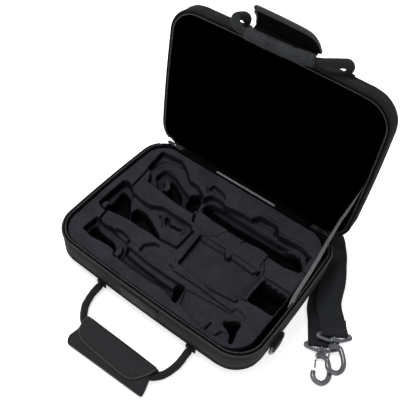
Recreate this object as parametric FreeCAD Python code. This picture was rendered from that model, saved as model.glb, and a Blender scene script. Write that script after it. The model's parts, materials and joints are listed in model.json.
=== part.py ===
import FreeCAD, Part
import math
import os

os.makedirs("parts", exist_ok=True)
V = FreeCAD.Vector

# ---------------------------------------------------------------- dimensions
# Millimetres. Origin: centre of the flat underside. +X along the hinge,
# -Y the carrying-handle side, +Y the hinge side, +Z up.
CASE_L = 330.0          # along the hinge, between the corner tangents
CASE_W = 242.0          # front to back
BOW = 3.0               # outward bow of the front and the two ends
CORNER_R = 39.0         # plan corner radius
BASE_H = 50.0           # floor to the base's zip plane
BASE_R = 16.0           # roll of the base's lower edge
LID_H = 32.0            # lid, zip plane to its outer face
LID_R = 14.0            # roll of the lid's outer edge
ZIP_GAP = 1.0           # between the two zip planes when shut
WALL = 5.5              # padded wall
INSERT_TOP = 46.0       # top of the fitted insert
BOARD_T = 3.0           # board under the insert
OPEN_DEG = 94.9         # lid angle held by the stay ribbon
HINGE_Y = 116.25        # line the back edge folds about
HINGE_Z = 44.0
HANDLE_R = 5.3          # rolled handle cord
SLEEVE_R = 8.5          # padded grip on the lid's handle
RIBBON_GAP = 6.5        # room for the stay ribbon beside the insert
STRAP_W = 36.0          # shoulder strap webbing
STRAP_T = 1.8
RING_WIRE = 2.0         # radius of the plastic ring's bar
HOOK_WIRE = 3.5         # radius of the hook's bar
LID_Z0 = BASE_H + ZIP_GAP
LID_Z1 = LID_Z0 + LID_H
EPS = 0.001

nodes = {}


def add(name, shape):
    nodes[name] = shape


# ------------------------------------------------------------------- helpers
def plan(inset, z):
    """Closed four-arc outline: bowed front and ends, straight back."""
    hx, hy = CASE_L / 2 - inset, CASE_W / 2 - inset
    a, b, c, d = V(-hx, -hy, z), V(hx, -hy, z), V(hx, hy, z), V(-hx, hy, z)
    e = [
        Part.Arc(a, V(0, -hy - BOW, z), b).toShape(),
        Part.Arc(b, V(hx + BOW, 0, z), c).toShape(),
        Part.LineSegment(c, d).toShape(),
        Part.Arc(d, V(-hx - BOW, 0, z), a).toShape(),
    ]
    return Part.Wire(e)


def block(inset, z0, z1):
    """Prism of the plan outline with its corners rounded."""
    s = Part.Face(plan(inset, z0)).extrude(V(0, 0, z1 - z0))
    up = [
        e
        for e in s.Edges
        if abs(abs((e.Vertexes[0].Point - e.Vertexes[-1].Point).z) - (z1 - z0)) < 1e-4
    ]
    return s.makeFillet(max(CORNER_R - inset, 2.0), up)


def rolled(inset, z0, z1, r, top):
    """The same prism with its lower or upper edge rolled."""
    s = block(inset, z0, z1)
    z = z1 if top else z0
    es = [
        e
        for e in s.Edges
        if all(abs(v.Point.z - z) < 1e-4 for v in e.Vertexes)
        and abs(e.valueAt((e.FirstParameter + e.LastParameter) / 2).z - z) < 1e-4
    ]
    return s.makeFillet(r, es)


def slab(x0, y0, z0, x1, y1, z1, r=0.0, edges="z"):
    s = Part.makeBox(x1 - x0, y1 - y0, z1 - z0, V(x0, y0, z0))
    if r > 0:
        k = {"x": 0, "y": 1, "z": 2}[edges]
        es = []
        for e in s.Edges:
            d = e.Vertexes[0].Point - e.Vertexes[-1].Point
            if abs(abs((d.x, d.y, d.z)[k]) - d.Length) < 1e-6:
                es.append(e)
        s = s.makeFillet(r, es)
    return s


def prism(points, z0, z1):
    w = Part.makePolygon([V(x, y, z0) for x, y in points + points[:1]])
    return Part.Face(w).extrude(V(0, 0, z1 - z0))


def route(points, share=0.45):
    """Straight runs with a tangent arc at each inner point."""
    pts = [V(*p) for p in points]
    edges, last, radii = [], pts[0], []
    for i in range(1, len(pts) - 1):
        a, b, c = pts[i - 1], pts[i], pts[i + 1]
        u, v = (a - b).normalize(), (c - b).normalize()
        back = share * min((a - b).Length, (c - b).Length)
        half = 0.5 * math.acos(max(-1, min(1, -u.dot(v))))
        if half < 1e-4:
            continue
        radii.append(back / math.tan(half))
        p, q = b + u * back, b + v * back
        mid = (u + v).normalize()
        r = back / math.tan(half)
        m = b + mid * (r / math.cos(half) - r)
        if (p - last).Length > 1e-4:
            edges.append(Part.LineSegment(last, p).toShape())
        edges.append(Part.Arc(p, m, q).toShape())
        last = q
    edges.append(Part.LineSegment(last, pts[-1]).toShape())
    return Part.Wire(edges), radii


def tube(points, r, share=0.45):
    w, radii = route(points, share)
    e = w.Edges[0]
    p = e.valueAt(e.FirstParameter)
    t = e.tangentAt(e.FirstParameter)
    ring = Part.Wire([Part.makeCircle(r, p, t)])
    s = w.makePipeShell([ring], True, False)
    return s


def strip(path, half, t, up):
    """A strap of width 2*half and thickness t along path points.

    up gives, per point, the direction across the width.
    """
    wires = []
    pts = [V(*p) for p in path]
    for i, p in enumerate(pts):
        a = pts[max(i - 1, 0)]
        b = pts[min(i + 1, len(pts) - 1)]
        d = (b - a).normalize()
        w = V(*up[i])
        w = (w - d * w.dot(d)).normalize()
        n = d.cross(w).normalize()
        c = [
            p + w * half + n * (t / 2),
            p - w * half + n * (t / 2),
            p - w * half - n * (t / 2),
            p + w * half - n * (t / 2),
        ]
        wires.append(Part.makePolygon(c + c[:1]))
    return Part.makeLoft(wires, True, True)


def opened(shape):
    """Turn a lid piece from shut to the angle the stay ribbon holds."""
    s = shape.copy()
    s.rotate(V(0, HINGE_Y, HINGE_Z), V(1, 0, 0), -OPEN_DEG)
    return s


TH = math.radians(OPEN_DEG)
EDGE_Y = HINGE_Y + (121 - HINGE_Y) * math.cos(TH) + (LID_Z0 - HINGE_Z) * math.sin(TH)
EDGE_Z = HINGE_Z - (121 - HINGE_Y) * math.sin(TH) + (LID_Z0 - HINGE_Z) * math.cos(TH)


def lid_point(x, v, n):
    """Point of the open lid: v up from its back edge, n out behind its rim."""
    return (
        x,
        EDGE_Y - v * math.cos(TH) + n * math.sin(TH),
        EDGE_Z + v * math.sin(TH) + n * math.cos(TH),
    )


def lid_dir(v, n):
    return V(0, -v * math.cos(TH) + n * math.sin(TH), v * math.sin(TH) + n * math.cos(TH))


# ---------------------------------------------------------------- base shell
outer_base = rolled(0, 0, BASE_H - 1, BASE_R, False)
inner = block(WALL, 7, BASE_H + 5)
below = Part.makeBox(500, 500, 7, V(-250, -250, 0))
add("base_panel", outer_base.common(below))
add("base_wall", outer_base.cut(below).cut(inner))
add("base_hem", block(-0.9, 9, 12).cut(outer_base))

# front and ends only: everything of the zip stops short of the hinge
HINGE_HALF = 118.0
keep_zip = Part.makeBox(2 * HINGE_HALF, 60, 200, V(-HINGE_HALF, 95, 0))


keep_cord = Part.makeBox(312, 60, 200, V(-156, 95, 0))
slot_r = Part.makeBox(40, 30, 5.4, V(116.5, 96, LID_Z0 - 0.6))
slot_l = Part.makeBox(40, 30, 5.4, V(-156.5, 96, LID_Z0 - 0.6))


def band(i0, i1, z0, z1, gap=None):
    s = block(i0, z0, z1).cut(block(i1, z0 - 1, z1 + 1))
    return s.cut(gap or keep_zip)


add("base_piping", band(-1.4, 0, BASE_H - 4.2, BASE_H - 1.2, keep_cord))
add("base_zip_tape", band(1.2, 5.3, BASE_H - 1, BASE_H - 0.2))
add("base_zip_teeth", band(3.0, 5.0, BASE_H - 0.2, BASE_H + 0.2))

# ------------------------------------------------------------------- insert
add("insert_board", block(WALL + 0.5, 7, 7 + BOARD_T))
# the insert stops short of the right wall, where the stay ribbon runs down
insert = block(WALL + 1.0, 7 + BOARD_T, INSERT_TOP)
short = insert.copy()
short.translate(V(-RIBBON_GAP, 0, 0))
insert = insert.common(short)
cavities = [
    # bottom joint channel: wide head, then the deep run and its key shelf
    ([(-142, 56), (-104, 56), (-104, 101), (-143, 101)], 27),
    ([(-142, 56), (-122, 39), (-84, 37), (-84, 84), (-104, 92), (-104, 101), (-142, 101)], 30),
    ([(-84, 37), (-34, 36), (-34, 82), (-84, 84)], 20),
    ([(-34, 40), (140, 44), (140, 67), (-34, 67)], 15),
    ([(-34, 67), (140, 67), (140, 79), (92, 78), (82, 76), (80, 90), (44, 91), (40, 82), (-34, 82)], 30),
    # bell pocket: two deep wells and a shallow neck
    ([(-149, -37), (-98, -37), (-98, 15), (-147, 15)], 14),
    ([(-98, -37), (-60, -37), (-60, 8), (-98, 11)], 22),
    ([(-60, -37), (-8, -37), (-6, 9), (-60, 9)], 32),
    # top joint channel
    ([(-134, -89), (-72, -89), (-72, -62), (-134, -62)], 24),
    ([(-72, -95), (42, -97), (38, -75), (-72, -75)], 17),
    ([(-72, -75), (38, -75), (38, -58), (-72, -58)], 34),
    ([(42, -109), (118, -109), (118, -64), (38, -75)], 33),
    ([(118, -97), (148, -93), (148, -56), (118, -64)], 20),
    # accessory tray and the deep square pocket
    ([(0, -42), (100, -42), (100, 15), (0, 15)], 33),
    ([(103, -36), (152, -36), (152, 11), (103, 11)], 13),
]
for pts, floor in cavities:
    insert = insert.cut(prism(pts, floor, INSERT_TOP + 5))
add("insert_block", insert)

# ---------------------------------------------------------------------- lid
outer_lid = rolled(0, LID_Z0 + 1, LID_Z1, LID_R, True)
above = Part.makeBox(500, 500, 50, V(-250, -250, LID_Z1 - 7))
lid_in = block(WALL, LID_Z0 - 5, LID_Z1 - 7)
add("lid_panel", opened(outer_lid.common(above)))
add("lid_wall", opened(outer_lid.cut(above).cut(lid_in).cut(slot_r).cut(slot_l)))
add("lid_lining", opened(block(WALL + 0.3, LID_Z1 - 11, LID_Z1 - 7)))
add("lid_piping", opened(band(-1.4, 0, LID_Z0 + 1.2, LID_Z0 + 4.2, keep_cord)))
add("lid_zip_tape", opened(band(1.2, 5.3, LID_Z0 + 0.2, LID_Z0 + 1).cut(slot_r).cut(slot_l)))
add("lid_zip_teeth", opened(band(3.0, 5.0, LID_Z0, LID_Z0 + 0.2).cut(slot_r).cut(slot_l)))
add("lid_hem", opened(block(-0.9, LID_Z1 - 12, LID_Z1 - 9).cut(outer_lid)))

# outer pocket on the lid's face, its zip near the handle side
pocket = rolled(15, LID_Z1, LID_Z1 + 9, 5.5, True)
PZ_Y = -84.0
add("pocket_pouch", opened(pocket))
add("pocket_zip_tape", opened(slab(-118, PZ_Y - 9, LID_Z1 + 9, 118, PZ_Y + 9, LID_Z1 + 9.7, 3)))
add("pocket_zip_teeth", opened(slab(-112, PZ_Y - 2, LID_Z1 + 9.7, 112, PZ_Y + 2, LID_Z1 + 10.6)))

# ------------------------------------------------------ sliders and pull tabs
def slider(cx, cy, z0):
    s = slab(cx - 5.5, cy - 3.6, z0, cx + 5.5, cy + 3.6, z0 + 2.6, 1.6)
    bridge = slab(cx - 3.5, cy - 1.2, z0 + 2.6, cx + 3.5, cy + 1.2, z0 + 3.4)
    return s.fuse(bridge).removeSplitter()


def pull(cx, cy, z, sx):
    """Pull tab lying along X from its eye, sx is +1 or -1."""
    a, b = sorted((cx + sx * 6.2, cx + sx * 24.0))
    s = slab(a, cy - 3.1, z, b, cy + 3.1, z + 1.2, 2.4)
    return s.cut(slab(cx + sx * 10 - 1.6, cy - 1.2, z - 1, cx + sx * 10 + 1.6, cy + 1.2, z + 3, 1.0))


ZY = 117.0
for side, sx in (("right", 1), ("left", -1)):
    add("zip_slider_" + side, slider(sx * 123.5, ZY, BASE_H + 0.5))
    add("zip_pull_" + side, pull(sx * 123.5, ZY, BASE_H + 1.2, sx))

psl = slider(100, PZ_Y, LID_Z1 + 10.95)
ppl = slab(97.4, PZ_Y + 4.0, LID_Z1 + 11.1, 102.6, PZ_Y + 28, LID_Z1 + 12.3, 2.4)
ppl = ppl.cut(slab(98.9, PZ_Y + 5.4, LID_Z1 + 10, 101.1, PZ_Y + 8, LID_Z1 + 14))
add("pocket_slider", opened(psl))
# the pull hangs plumb from its eye
ppl = opened(ppl)
hang = V(100, PZ_Y + 4.4, LID_Z1 + 11.7) - V(0, HINGE_Y, HINGE_Z)
hang = V(100, HINGE_Y + hang.y * math.cos(TH) + hang.z * math.sin(TH), HINGE_Z - hang.y * math.sin(TH) + hang.z * math.cos(TH))
ppl.rotate(hang, V(1, 0, 0), OPEN_DEG - 90)
add("pocket_pull", ppl)
print("pocket pull eye", hang)

# ----------------------------------------------------- fold line and stay
add("hinge_fabric", slab(-116, 112.6, BASE_H - 0.9, 116, 120.6, BASE_H - 0.1))
add("hinge_ribbon", slab(-53, 113.2, BASE_H - 0.05, 53, 116.4, BASE_H + 0.35))

RB = [
    (161.4, -14, 36), (161.4, -12, 44), (160.6, 0, 47.5), (158.6, 22, 48), (156.6, 50, 49.5), (153.8, 80, 53.5),
    (152.7, 96, 63), (153, 107.2, 75), (153.6, 118.5, 91), (156.5, 129.9, 112), (161.3, 146.8, 154),
]
ru = [
    (0, -0.97, 0.24), (0, -0.63, 0.77), (-0.14, 0, 1), (-0.14, 0, 1), (-0.14, 0, 1), (0.3, -0.3, 0.8),
    (0.8, -0.4, 0.3), (0.95, -0.2, 0.1), (0.8, -0.5, 0.2), (0.3, -0.85, 0.4), (0.0, -0.89, 0.445),
]
add("stay_ribbon", strip(RB, 5.5, 0.5, ru))

# ------------------------------------------------------------ front of base
front = CASE_W / 2 + BOW
add("label_patch", slab(-34, -front - 1.3, 17, 31, -front + 0.4, 41, 2.0, "y").cut(block(0, 5, 60)))

# -------------------------------------------------- base handle and its wrap
BH = [
    (-69, -131.3, 6.4), (-69, -135, 6.4), (-67.5, -149, 6.2), (-60.5, -168, 6.2), (-42, -184.5, 7.2),
    (-5, -188, 7.8), (34, -190, 7.8), (64, -189.5, 7.2), (80.5, -176, 6.2), (87, -155, 6.2), (86.8, -135, 6.4), (86.8, -131.3, 6.4),
]
bh = tube(BH, HANDLE_R)
for end in (BH[0], BH[-1]):
    bh = bh.fuse(Part.makeSphere(HANDLE_R, V(*end)))
bh = bh.removeSplitter()
add("base_handle_cord", bh)
roots = []
for x in (-69, 86.8):
    b = slab(x - 8, -125.6, 1.2, x + 8, -120.0, 12.6, 1.2, "x")
    roots.append(b.cut(outer_base).cut(nodes["base_hem"]))
add("base_handle_roots", Part.makeCompound(roots))
wrap = slab(-45, -216, 0.4, 74, -176, 15.4, 5.0, "x")
add("base_grip_wrap", wrap.cut(bh))
add("base_wrap_flap", slab(-43, -208, 15.9, 73, -177, 18.1, 5.0))

# --------------------------------------------------- lid handle and its wrap
LH = [
    lid_point(*p)
    for p in (
        (-60, 251.7, 20), (-64, 258.5, 17.5), (-68.8, 260.5, 3), (-57, 257.2, -9.5), (-35, 256.4, -12.5),
        (6.7, 256.3, -10.9), (33.9, 256.5, -9.1), (55.6, 257.6, -3.8), (74.5, 258.8, 9), (85.5, 259, 17.5), (89.2, 251.7, 20),
    )
]
lh = tube(LH, HANDLE_R)
for end in (LH[0], LH[-1]):
    lh = lh.fuse(Part.makeSphere(HANDLE_R, V(*end)))
lh = lh.removeSplitter()
add("lid_handle_cord", lh)
core = [lid_point(-40, 256.6, -12.2), lid_point(-12, 256.3, -11.8), lid_point(18, 256.4, -10.3), lid_point(50, 257.3, -5.6)]
sleeve = tube(core, SLEEVE_R)
add("lid_grip_sleeve", sleeve.cut(lh))


def lid_slab(x0, v0, n0, x1, v1, n1, r=0.0, edges="z"):
    """Box in lid axes: v up the lid is -Y when shut, n is +Z when shut."""
    s = slab(x0, 121 - v1, LID_Z0 + n0, x1, 121 - v0, LID_Z0 + n1, r, edges)
    return opened(s)


lroots = []
for x, n in ((-60, 20), (89.2, 20)):
    lroots.append(lid_slab(x - 8, 241.0, n - 6, x + 8, 246.0, n + 4).cut(nodes["lid_wall"]).cut(nodes["lid_panel"]).cut(nodes["lid_hem"]))
add("lid_handle_roots", Part.makeCompound(lroots))
FLAP_Y, FLAP_Z = 145.5, 303.5
flap = slab(-44, 0, -1.1, 54, 21.5, 1.1, 5.0, "z")
flap.rotate(V(0, 0, 0), V(1, 0, 0), 75)
flap.translate(V(0, FLAP_Y, FLAP_Z))
add("lid_wrap_flap", flap)
print("lid handle pivot", lid_point(0, 251.7, 20))

# ------------------------------------------------------------ rings and tabs
RING_Y, RING_Z = -57.0, 30.5
RING_X = 172.9


def wall_x(z):
    """Outer face of the end wall at the ring's place."""
    bow = CASE_L / 2 + BOW * (1 - (RING_Y / (CASE_W / 2)) ** 2)
    return bow - (BASE_R - math.sqrt(BASE_R**2 - (BASE_R - z) ** 2) if z < BASE_R else 0)


def closed_tube(points, r):
    pts = [V(*p) for p in points]
    n = len(pts)
    edges, ends = [], []
    for i in range(n):
        a, b, c = pts[i - 1], pts[i], pts[(i + 1) % n]
        u, v = (a - b).normalize(), (c - b).normalize()
        back = 0.42 * min((a - b).Length, (c - b).Length)
        half = 0.5 * math.acos(max(-1, min(1, -u.dot(v))))
        rr = back / math.tan(half)
        m = b + (u + v).normalize() * (rr / math.cos(half) - rr)
        ends.append((b + u * back, m, b + v * back))
    for i in range(n):
        p, m, q = ends[i]
        edges.append(Part.Arc(p, m, q).toShape())
        edges.append(Part.LineSegment(q, ends[(i + 1) % n][0]).toShape())
    w = Part.Wire(edges)
    e = w.Edges[0]
    p = e.valueAt(e.FirstParameter)
    ring = Part.Wire([Part.makeCircle(r, p, e.tangentAt(e.FirstParameter))])
    s = w.makePipeShell([ring], True, False)
    if s.ShapeType != "Solid":
        s = Part.Solid(Part.Shell(s.Faces))
    return s


for side, sx in (("right", 1), ("left", -1)):
    x = sx * RING_X
    pts = [
        (x, RING_Y - 15.5, RING_Z), (x, RING_Y + 15.5, RING_Z), (x + sx * 0.6, RING_Y + 16.5, RING_Z - 8),
        (x + sx * 1.6, RING_Y + 9, RING_Z - 17.5), (x + sx * 1.6, RING_Y - 9, RING_Z - 17.5), (x + sx * 0.6, RING_Y - 16.5, RING_Z - 8),
    ]
    add("d_ring_" + side, closed_tube(pts, RING_WIRE))
    # webbing folded round the bar and sewn to the wall above it
    xi = wall_x(RING_Z)
    tab = slab(xi + 0.1, RING_Y - 12, RING_Z - 3.8, RING_X + 3.6, RING_Y + 12, RING_Z + 3.8, 3.0, "y")
    up = slab(xi + 0.1, RING_Y - 12, RING_Z + 1.0, xi + 2.2, RING_Y + 12, RING_Z + 12.4)
    tab = tab.fuse(up).removeSplitter()
    tab = tab.cut(Part.makeCylinder(RING_WIRE + 0.32, 60, V(RING_X, RING_Y - 30, RING_Z), V(0, 1, 0)))
    if sx < 0:
        tab = tab.mirror(V(0, 0, 0), V(1, 0, 0))
    tab = tab.cut(outer_base)
    add("d_ring_tab_" + side, tab)

# ------------------------------------------------------------ shoulder strap
def along(x, y, z, d, w, a, s, h=0.0):
    """Point a along the strap's run, s across it, h up."""
    return (x + d[0] * a + w[0] * s, y + d[1] * a + w[1] * s, z + h)


def tilt(w, deg):
    c, s = math.cos(math.radians(deg)), math.sin(math.radians(deg))
    return (w[0] * c, w[1] * c, s)


D1, W1 = (0.507, -0.862), (0.862, 0.507)
D2, W2 = (0.545, -0.838), (0.838, 0.545)
BAR1 = (218.3, -10.2, 4.5)
BAR2 = (225.1, 8.1, 13.2)
path1 = [
    (216.7, -7.5, 1.4), (213.4, -1.9, 1.4), (200.0, 20.6, 1.4), (188.5, 38.0, 1.4), (182.8, 56.3, 1.7),
    (180.6, 78.8, 4.8), (173.5, 106.6, 14.6), (160.2, 127.2, 14.6), (147.5, 145.4, 11.6),
]
tilt1 = [0, 0, 0, 0, 2, 10, 45, 45, 30]
path2 = [
    (223.7, 10.3, 10.1), (212.6, 27.0, 8.0), (194.5, 49.5, 8.6), (184.0, 78.8, 14.6), (172.3, 105.8, 17.8), (159.0, 126.4, 17.8),
    (146.1, 144.4, 14.8),
]
tilt2 = [0, 0, 3, 22, 45, 45, 30]


def belt(path, tilts, w, bar, d):
    body = strip(path, STRAP_W / 2, STRAP_T, [tilt(w, t) for t in tilts])
    # fold round the bar, then sewn down over the strap
    b = V(*bar)
    ax = V(w[0], w[1], 0)
    roll = Part.makeCylinder(4.1, STRAP_W - 2, b - ax * (STRAP_W / 2 - 1), ax)
    roll = roll.cut(Part.makeCylinder(2.3, 60, b - ax * 30, ax))
    tail0 = along(bar[0], bar[1], bar[2], d, w, -2.6, 0, 0.4)
    tail1 = along(bar[0], bar[1], bar[2], d, w, -20, 0, -0.2)
    lay = strip([tail0, tail1], STRAP_W / 2 - 1, STRAP_T, [w + (0,), w + (0,)])
    hole = Part.makeCylinder(2.3, 60, b - ax * 30, ax)
    return body.cut(hole).fuse(roll).fuse(lay.cut(hole)).removeSplitter()


add("strap_end_lower", belt(path1, tilt1, W1, BAR1, D1))
add("strap_end_upper", belt(path2, tilt2, W2, BAR2, D2))
add("strap_folded", slab(-98, 128, 0.4, 122, 166, 13.0, 2.5, "x"))
sl = slab(38, 124.5, 13.3, 66, 169.5, 17.3, 3.0)
for x in (41.5, 53.5):
    sl = sl.cut(slab(x, 128, 12, x + 9, 166, 19, 2.0))
add("strap_slide", sl)

# ------------------------------------------------------------- swivel hooks
def unit(d):
    n = math.hypot(*d)
    return (d[0] / n, d[1] / n)


def hook_loop():
    s = closed_tube([(0, -21, 0), (0, 21, 0), (4.5, 22.3, 0), (9.5, 8, 0), (9.5, -8, 0), (4.5, -22.3, 0)], 2.3)
    boss = slab(7.2, -6.4, -4.1, 12.2, 6.4, 4.1, 2.2, "x")
    s = s.fuse(boss).removeSplitter()
    return s.cut(Part.makeCylinder(2.08, 40, V(-10, 0, 0), V(1, 0, 0)).common(Part.makeBox(20, 20, 20, V(6.5, -10, -10))))


def hook_body():
    pin = Part.makeCylinder(2.0, 10.4, V(5.6, 0, 0), V(1, 0, 0))
    head = Part.makeCylinder(3.0, 1.6, V(4.9, 0, 0), V(1, 0, 0))
    jaw = tube([(18.6, -7.7, 0), (16.4, -0.4, 0), (19.6, 6.4, 0), (30.5, 9.2, 0), (41.5, 9.6, 0), (50.5, 6.0, 0), (55.2, -1.0, 0), (52.6, -8.6, 0), (46.6, -12.6, 0), (39.4, -11.4, 0)], HOOK_WIRE, 0.4)
    return pin.fuse(head).fuse(jaw).removeSplitter()


def hook_gate():
    g = tube([(24.6, -8.4, 0), (29, -8.8, 0), (34.0, -9.6, 0)], 1.2, 0.3)
    eye = Part.makeCylinder(1.5, 3.0, V(24.6, -8.4, -1.5), V(0, 0, 1))
    return g.fuse(eye).removeSplitter()


for i, (bar, d, w) in enumerate(((BAR1, D1, W1), (BAR2, D2, W2)), 1):
    d = unit(d)
    w = (-d[1], d[0])

    def put(shape):
        m = FreeCAD.Matrix(d[0], w[0], 0, bar[0], d[1], w[1], 0, bar[1], 0, 0, 1, bar[2], 0, 0, 0, 1)
        return shape.transformed(m)

    add("hook_loop_%d" % i, put(hook_loop()))
    add("hook_body_%d" % i, put(hook_body()))
    add("hook_gate_%d" % i, put(hook_gate()))

# --------------------------------------------------------------------- write
for name, shape in nodes.items():
    solids = shape.Solids
    bad = [s for s in solids if not s.isValid() or s.Volume <= 0]
    b = shape.BoundBox
    print("%-18s solids %d %s vol %9.1f  x %.1f..%.1f y %.1f..%.1f z %.1f..%.1f" % (
        name, len(solids), "BAD" if bad or not solids else "ok", shape.Volume, b.XMin, b.XMax, b.YMin, b.YMax, b.ZMin, b.ZMax))
    out = solids[0] if len(solids) == 1 else Part.makeCompound(solids)
    out.exportStep("parts/%s.step" % name)
print(len(nodes), "nodes")
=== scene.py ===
import bpy, bmesh, json, math
import numpy as np
from mathutils import Matrix, Vector


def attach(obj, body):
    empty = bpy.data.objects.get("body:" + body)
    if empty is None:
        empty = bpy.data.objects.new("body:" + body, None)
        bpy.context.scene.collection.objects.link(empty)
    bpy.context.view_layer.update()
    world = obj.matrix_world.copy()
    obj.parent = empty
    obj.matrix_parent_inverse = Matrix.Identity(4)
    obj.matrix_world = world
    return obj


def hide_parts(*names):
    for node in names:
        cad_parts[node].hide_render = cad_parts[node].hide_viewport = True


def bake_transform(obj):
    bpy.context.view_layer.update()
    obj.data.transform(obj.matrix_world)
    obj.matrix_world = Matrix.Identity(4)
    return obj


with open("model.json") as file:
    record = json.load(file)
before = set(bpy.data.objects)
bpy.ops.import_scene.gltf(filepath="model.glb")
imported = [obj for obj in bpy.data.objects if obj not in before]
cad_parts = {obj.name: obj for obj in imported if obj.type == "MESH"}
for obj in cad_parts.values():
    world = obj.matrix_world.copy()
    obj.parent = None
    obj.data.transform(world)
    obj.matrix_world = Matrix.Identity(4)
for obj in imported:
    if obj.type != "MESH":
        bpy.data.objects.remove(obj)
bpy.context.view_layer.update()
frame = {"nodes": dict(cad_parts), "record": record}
NODES = frame["nodes"]
MM = 0.001
rng = np.random.default_rng(7)

# ------------------------------------------------------------------ camera
AZ, EL, ROLL = math.radians(33.08), math.radians(50.02), math.radians(5.251)
b_ = Vector((math.sin(AZ) * math.cos(EL), -math.cos(AZ) * math.cos(EL), math.sin(EL)))
r_ = Vector((0, 0, 1)).cross(b_).normalized()
u_ = b_.cross(r_)
cr, sr = math.cos(ROLL), math.sin(ROLL)
rx, ux = cr * r_ + sr * u_, -sr * r_ + cr * u_
cam_data = bpy.data.cameras.new("camera")
cam = bpy.data.objects.new("camera", cam_data)
bpy.context.scene.collection.objects.link(cam)
cam.matrix_world = Matrix.Translation(Vector((276.078, -425.601, 731.388)) * MM) @ Matrix((rx, ux, b_)).transposed().to_4x4()
cam_data.sensor_width = 36
cam_data.lens = 54.29
cam_data.clip_start, cam_data.clip_end = 0.02, 20
bpy.context.scene.camera = cam
bpy.context.scene.view_settings.view_transform = "Standard"

# --------------------------------------------------------------- dimensions
L, W, BOW, CR = 330.0, 242.0, 3.0, 39.0
BASE_H, WALL, TOP = 50.0, 5.5, 46.0
Z0, Z1 = 51.0, 83.0
HY, HZ, OPEN = 116.25, 44.0, 94.9
TH = math.radians(OPEN)


def opened(p):
    """Points of the shut lid, in mm, at the open angle."""
    p = np.array(p, float)
    y, z = p[..., 1] - HY, p[..., 2] - HZ
    q = p.copy()
    q[..., 1] = HY + y * math.cos(TH) + z * math.sin(TH)
    q[..., 2] = HZ - y * math.sin(TH) + z * math.cos(TH)
    return q


def lidp(x, v, n):
    return opened((x, 121 - v, Z0 + n))


# ----------------------------------------------------------- node materials
class Tree:
    def __init__(self, name):
        self.m = bpy.data.materials.new(name)
        self.m.use_nodes = True
        self.t = self.m.node_tree
        self.t.nodes.clear()
        self.out = self.n("ShaderNodeOutputMaterial")
        self.b = self.n("ShaderNodeBsdfPrincipled")
        self.link(self.b.outputs[0], self.out.inputs[0])
        self.tc = self.n("ShaderNodeTexCoord")

    def n(self, kind, **k):
        node = self.t.nodes.new(kind)
        for a, v in k.items():
            setattr(node, a, v)
        return node

    def link(self, a, b):
        self.t.links.new(a, b)

    def math(self, op, a, b=None, clamp=False):
        node = self.n("ShaderNodeMath", operation=op, use_clamp=clamp)
        for i, v in enumerate((a, b)):
            if v is None:
                continue
            if isinstance(v, (int, float)):
                node.inputs[i].default_value = v
            else:
                self.link(v, node.inputs[i])
        return node.outputs[0]

    def noise(self, scale, detail=3.0, rough=0.55, vec=None):
        node = self.n("ShaderNodeTexNoise")
        node.inputs["Scale"].default_value = scale
        node.inputs["Detail"].default_value = detail
        node.inputs["Roughness"].default_value = rough
        self.link(vec or self.tc.outputs["Object"], node.inputs["Vector"])
        return node.outputs[0]

    def voronoi(self, scale, feature="DISTANCE_TO_EDGE", vec=None):
        node = self.n("ShaderNodeTexVoronoi", feature=feature)
        node.inputs["Scale"].default_value = scale
        self.link(vec or self.tc.outputs["Object"], node.inputs["Vector"])
        return node.outputs[0]

    def xyz(self, vec=None):
        node = self.n("ShaderNodeSeparateXYZ")
        self.link(vec or self.tc.outputs["Object"], node.inputs[0])
        return node.outputs

    def wave(self, value, period):
        """Sine of a coordinate in metres with a period in mm."""
        return self.math("SINE", self.math("MULTIPLY", value, 2 * math.pi / (period * MM)))

    def ramp(self, fac, stops):
        node = self.n("ShaderNodeValToRGB")
        e = node.color_ramp.elements
        while len(e) > 1:
            e.remove(e[-1])
        e[0].position, e[0].color = stops[0][0], (*stops[0][1], 1)
        for p, c in stops[1:]:
            x = e.new(p)
            x.color = (*c, 1)
        self.link(fac, node.inputs[0])
        return node.outputs[0]

    def remap(self, v, a, b, c, d):
        node = self.n("ShaderNodeMapRange")
        self.link(v, node.inputs[0])
        for i, x in enumerate((a, b, c, d), 1):
            node.inputs[i].default_value = x
        return node.outputs[0]

    def bump(self, height, distance, strength=1.0):
        node = self.n("ShaderNodeBump")
        node.inputs["Strength"].default_value = strength
        node.inputs["Distance"].default_value = distance * MM
        self.link(height, node.inputs["Height"])
        self.link(node.outputs[0], self.b.inputs["Normal"])

    def set(self, **k):
        for a, v in k.items():
            self.b.inputs[a.replace("_", " ")].default_value = v


def shade(c, k):
    return tuple(min(1.0, x * k) for x in c)


def weave3(t, period):
    """Over-and-under weave that works on a face turned any way."""
    x, y, z = t.xyz()
    sx, sy, sz = t.wave(x, period), t.wave(y, period), t.wave(z, period)
    a = t.math("MULTIPLY", sx, sy)
    b = t.math("MULTIPLY", sy, sz)
    c = t.math("MULTIPLY", sx, sz)
    return t.math("ADD", t.math("ADD", a, b), c)


def fabric(name, col, period=1.3, var=0.25, rough=(0.75, 0.95), sheen=0.15, depth=0.18, worn=1.0, spec=0.12):
    t = Tree(name)
    big, mid, fine = t.noise(26, 4), t.noise(170, 3), t.noise(900, 2)
    w = weave3(t, period)
    mix = t.math("ADD", t.math("MULTIPLY", big, 0.5), t.math("MULTIPLY", mid, 0.5))
    mix = t.math("ADD", mix, t.math("MULTIPLY", w, 0.035))
    t.link(t.ramp(mix, [(0.28, shade(col, 1 - var)), (0.5, col), (0.74, shade(col, (1 + var) * worn))]), t.b.inputs["Base Color"])
    t.link(t.remap(mid, 0.3, 0.7, rough[0], rough[1]), t.b.inputs["Roughness"])
    t.set(Sheen_Weight=sheen, Sheen_Roughness=0.4, Specular_IOR_Level=spec)
    h = t.math("ADD", t.math("MULTIPLY", w, 0.35), t.math("MULTIPLY", fine, 0.8))
    t.bump(t.math("ADD", h, t.math("MULTIPLY", mid, 1.2)), depth)
    return t.m


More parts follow.
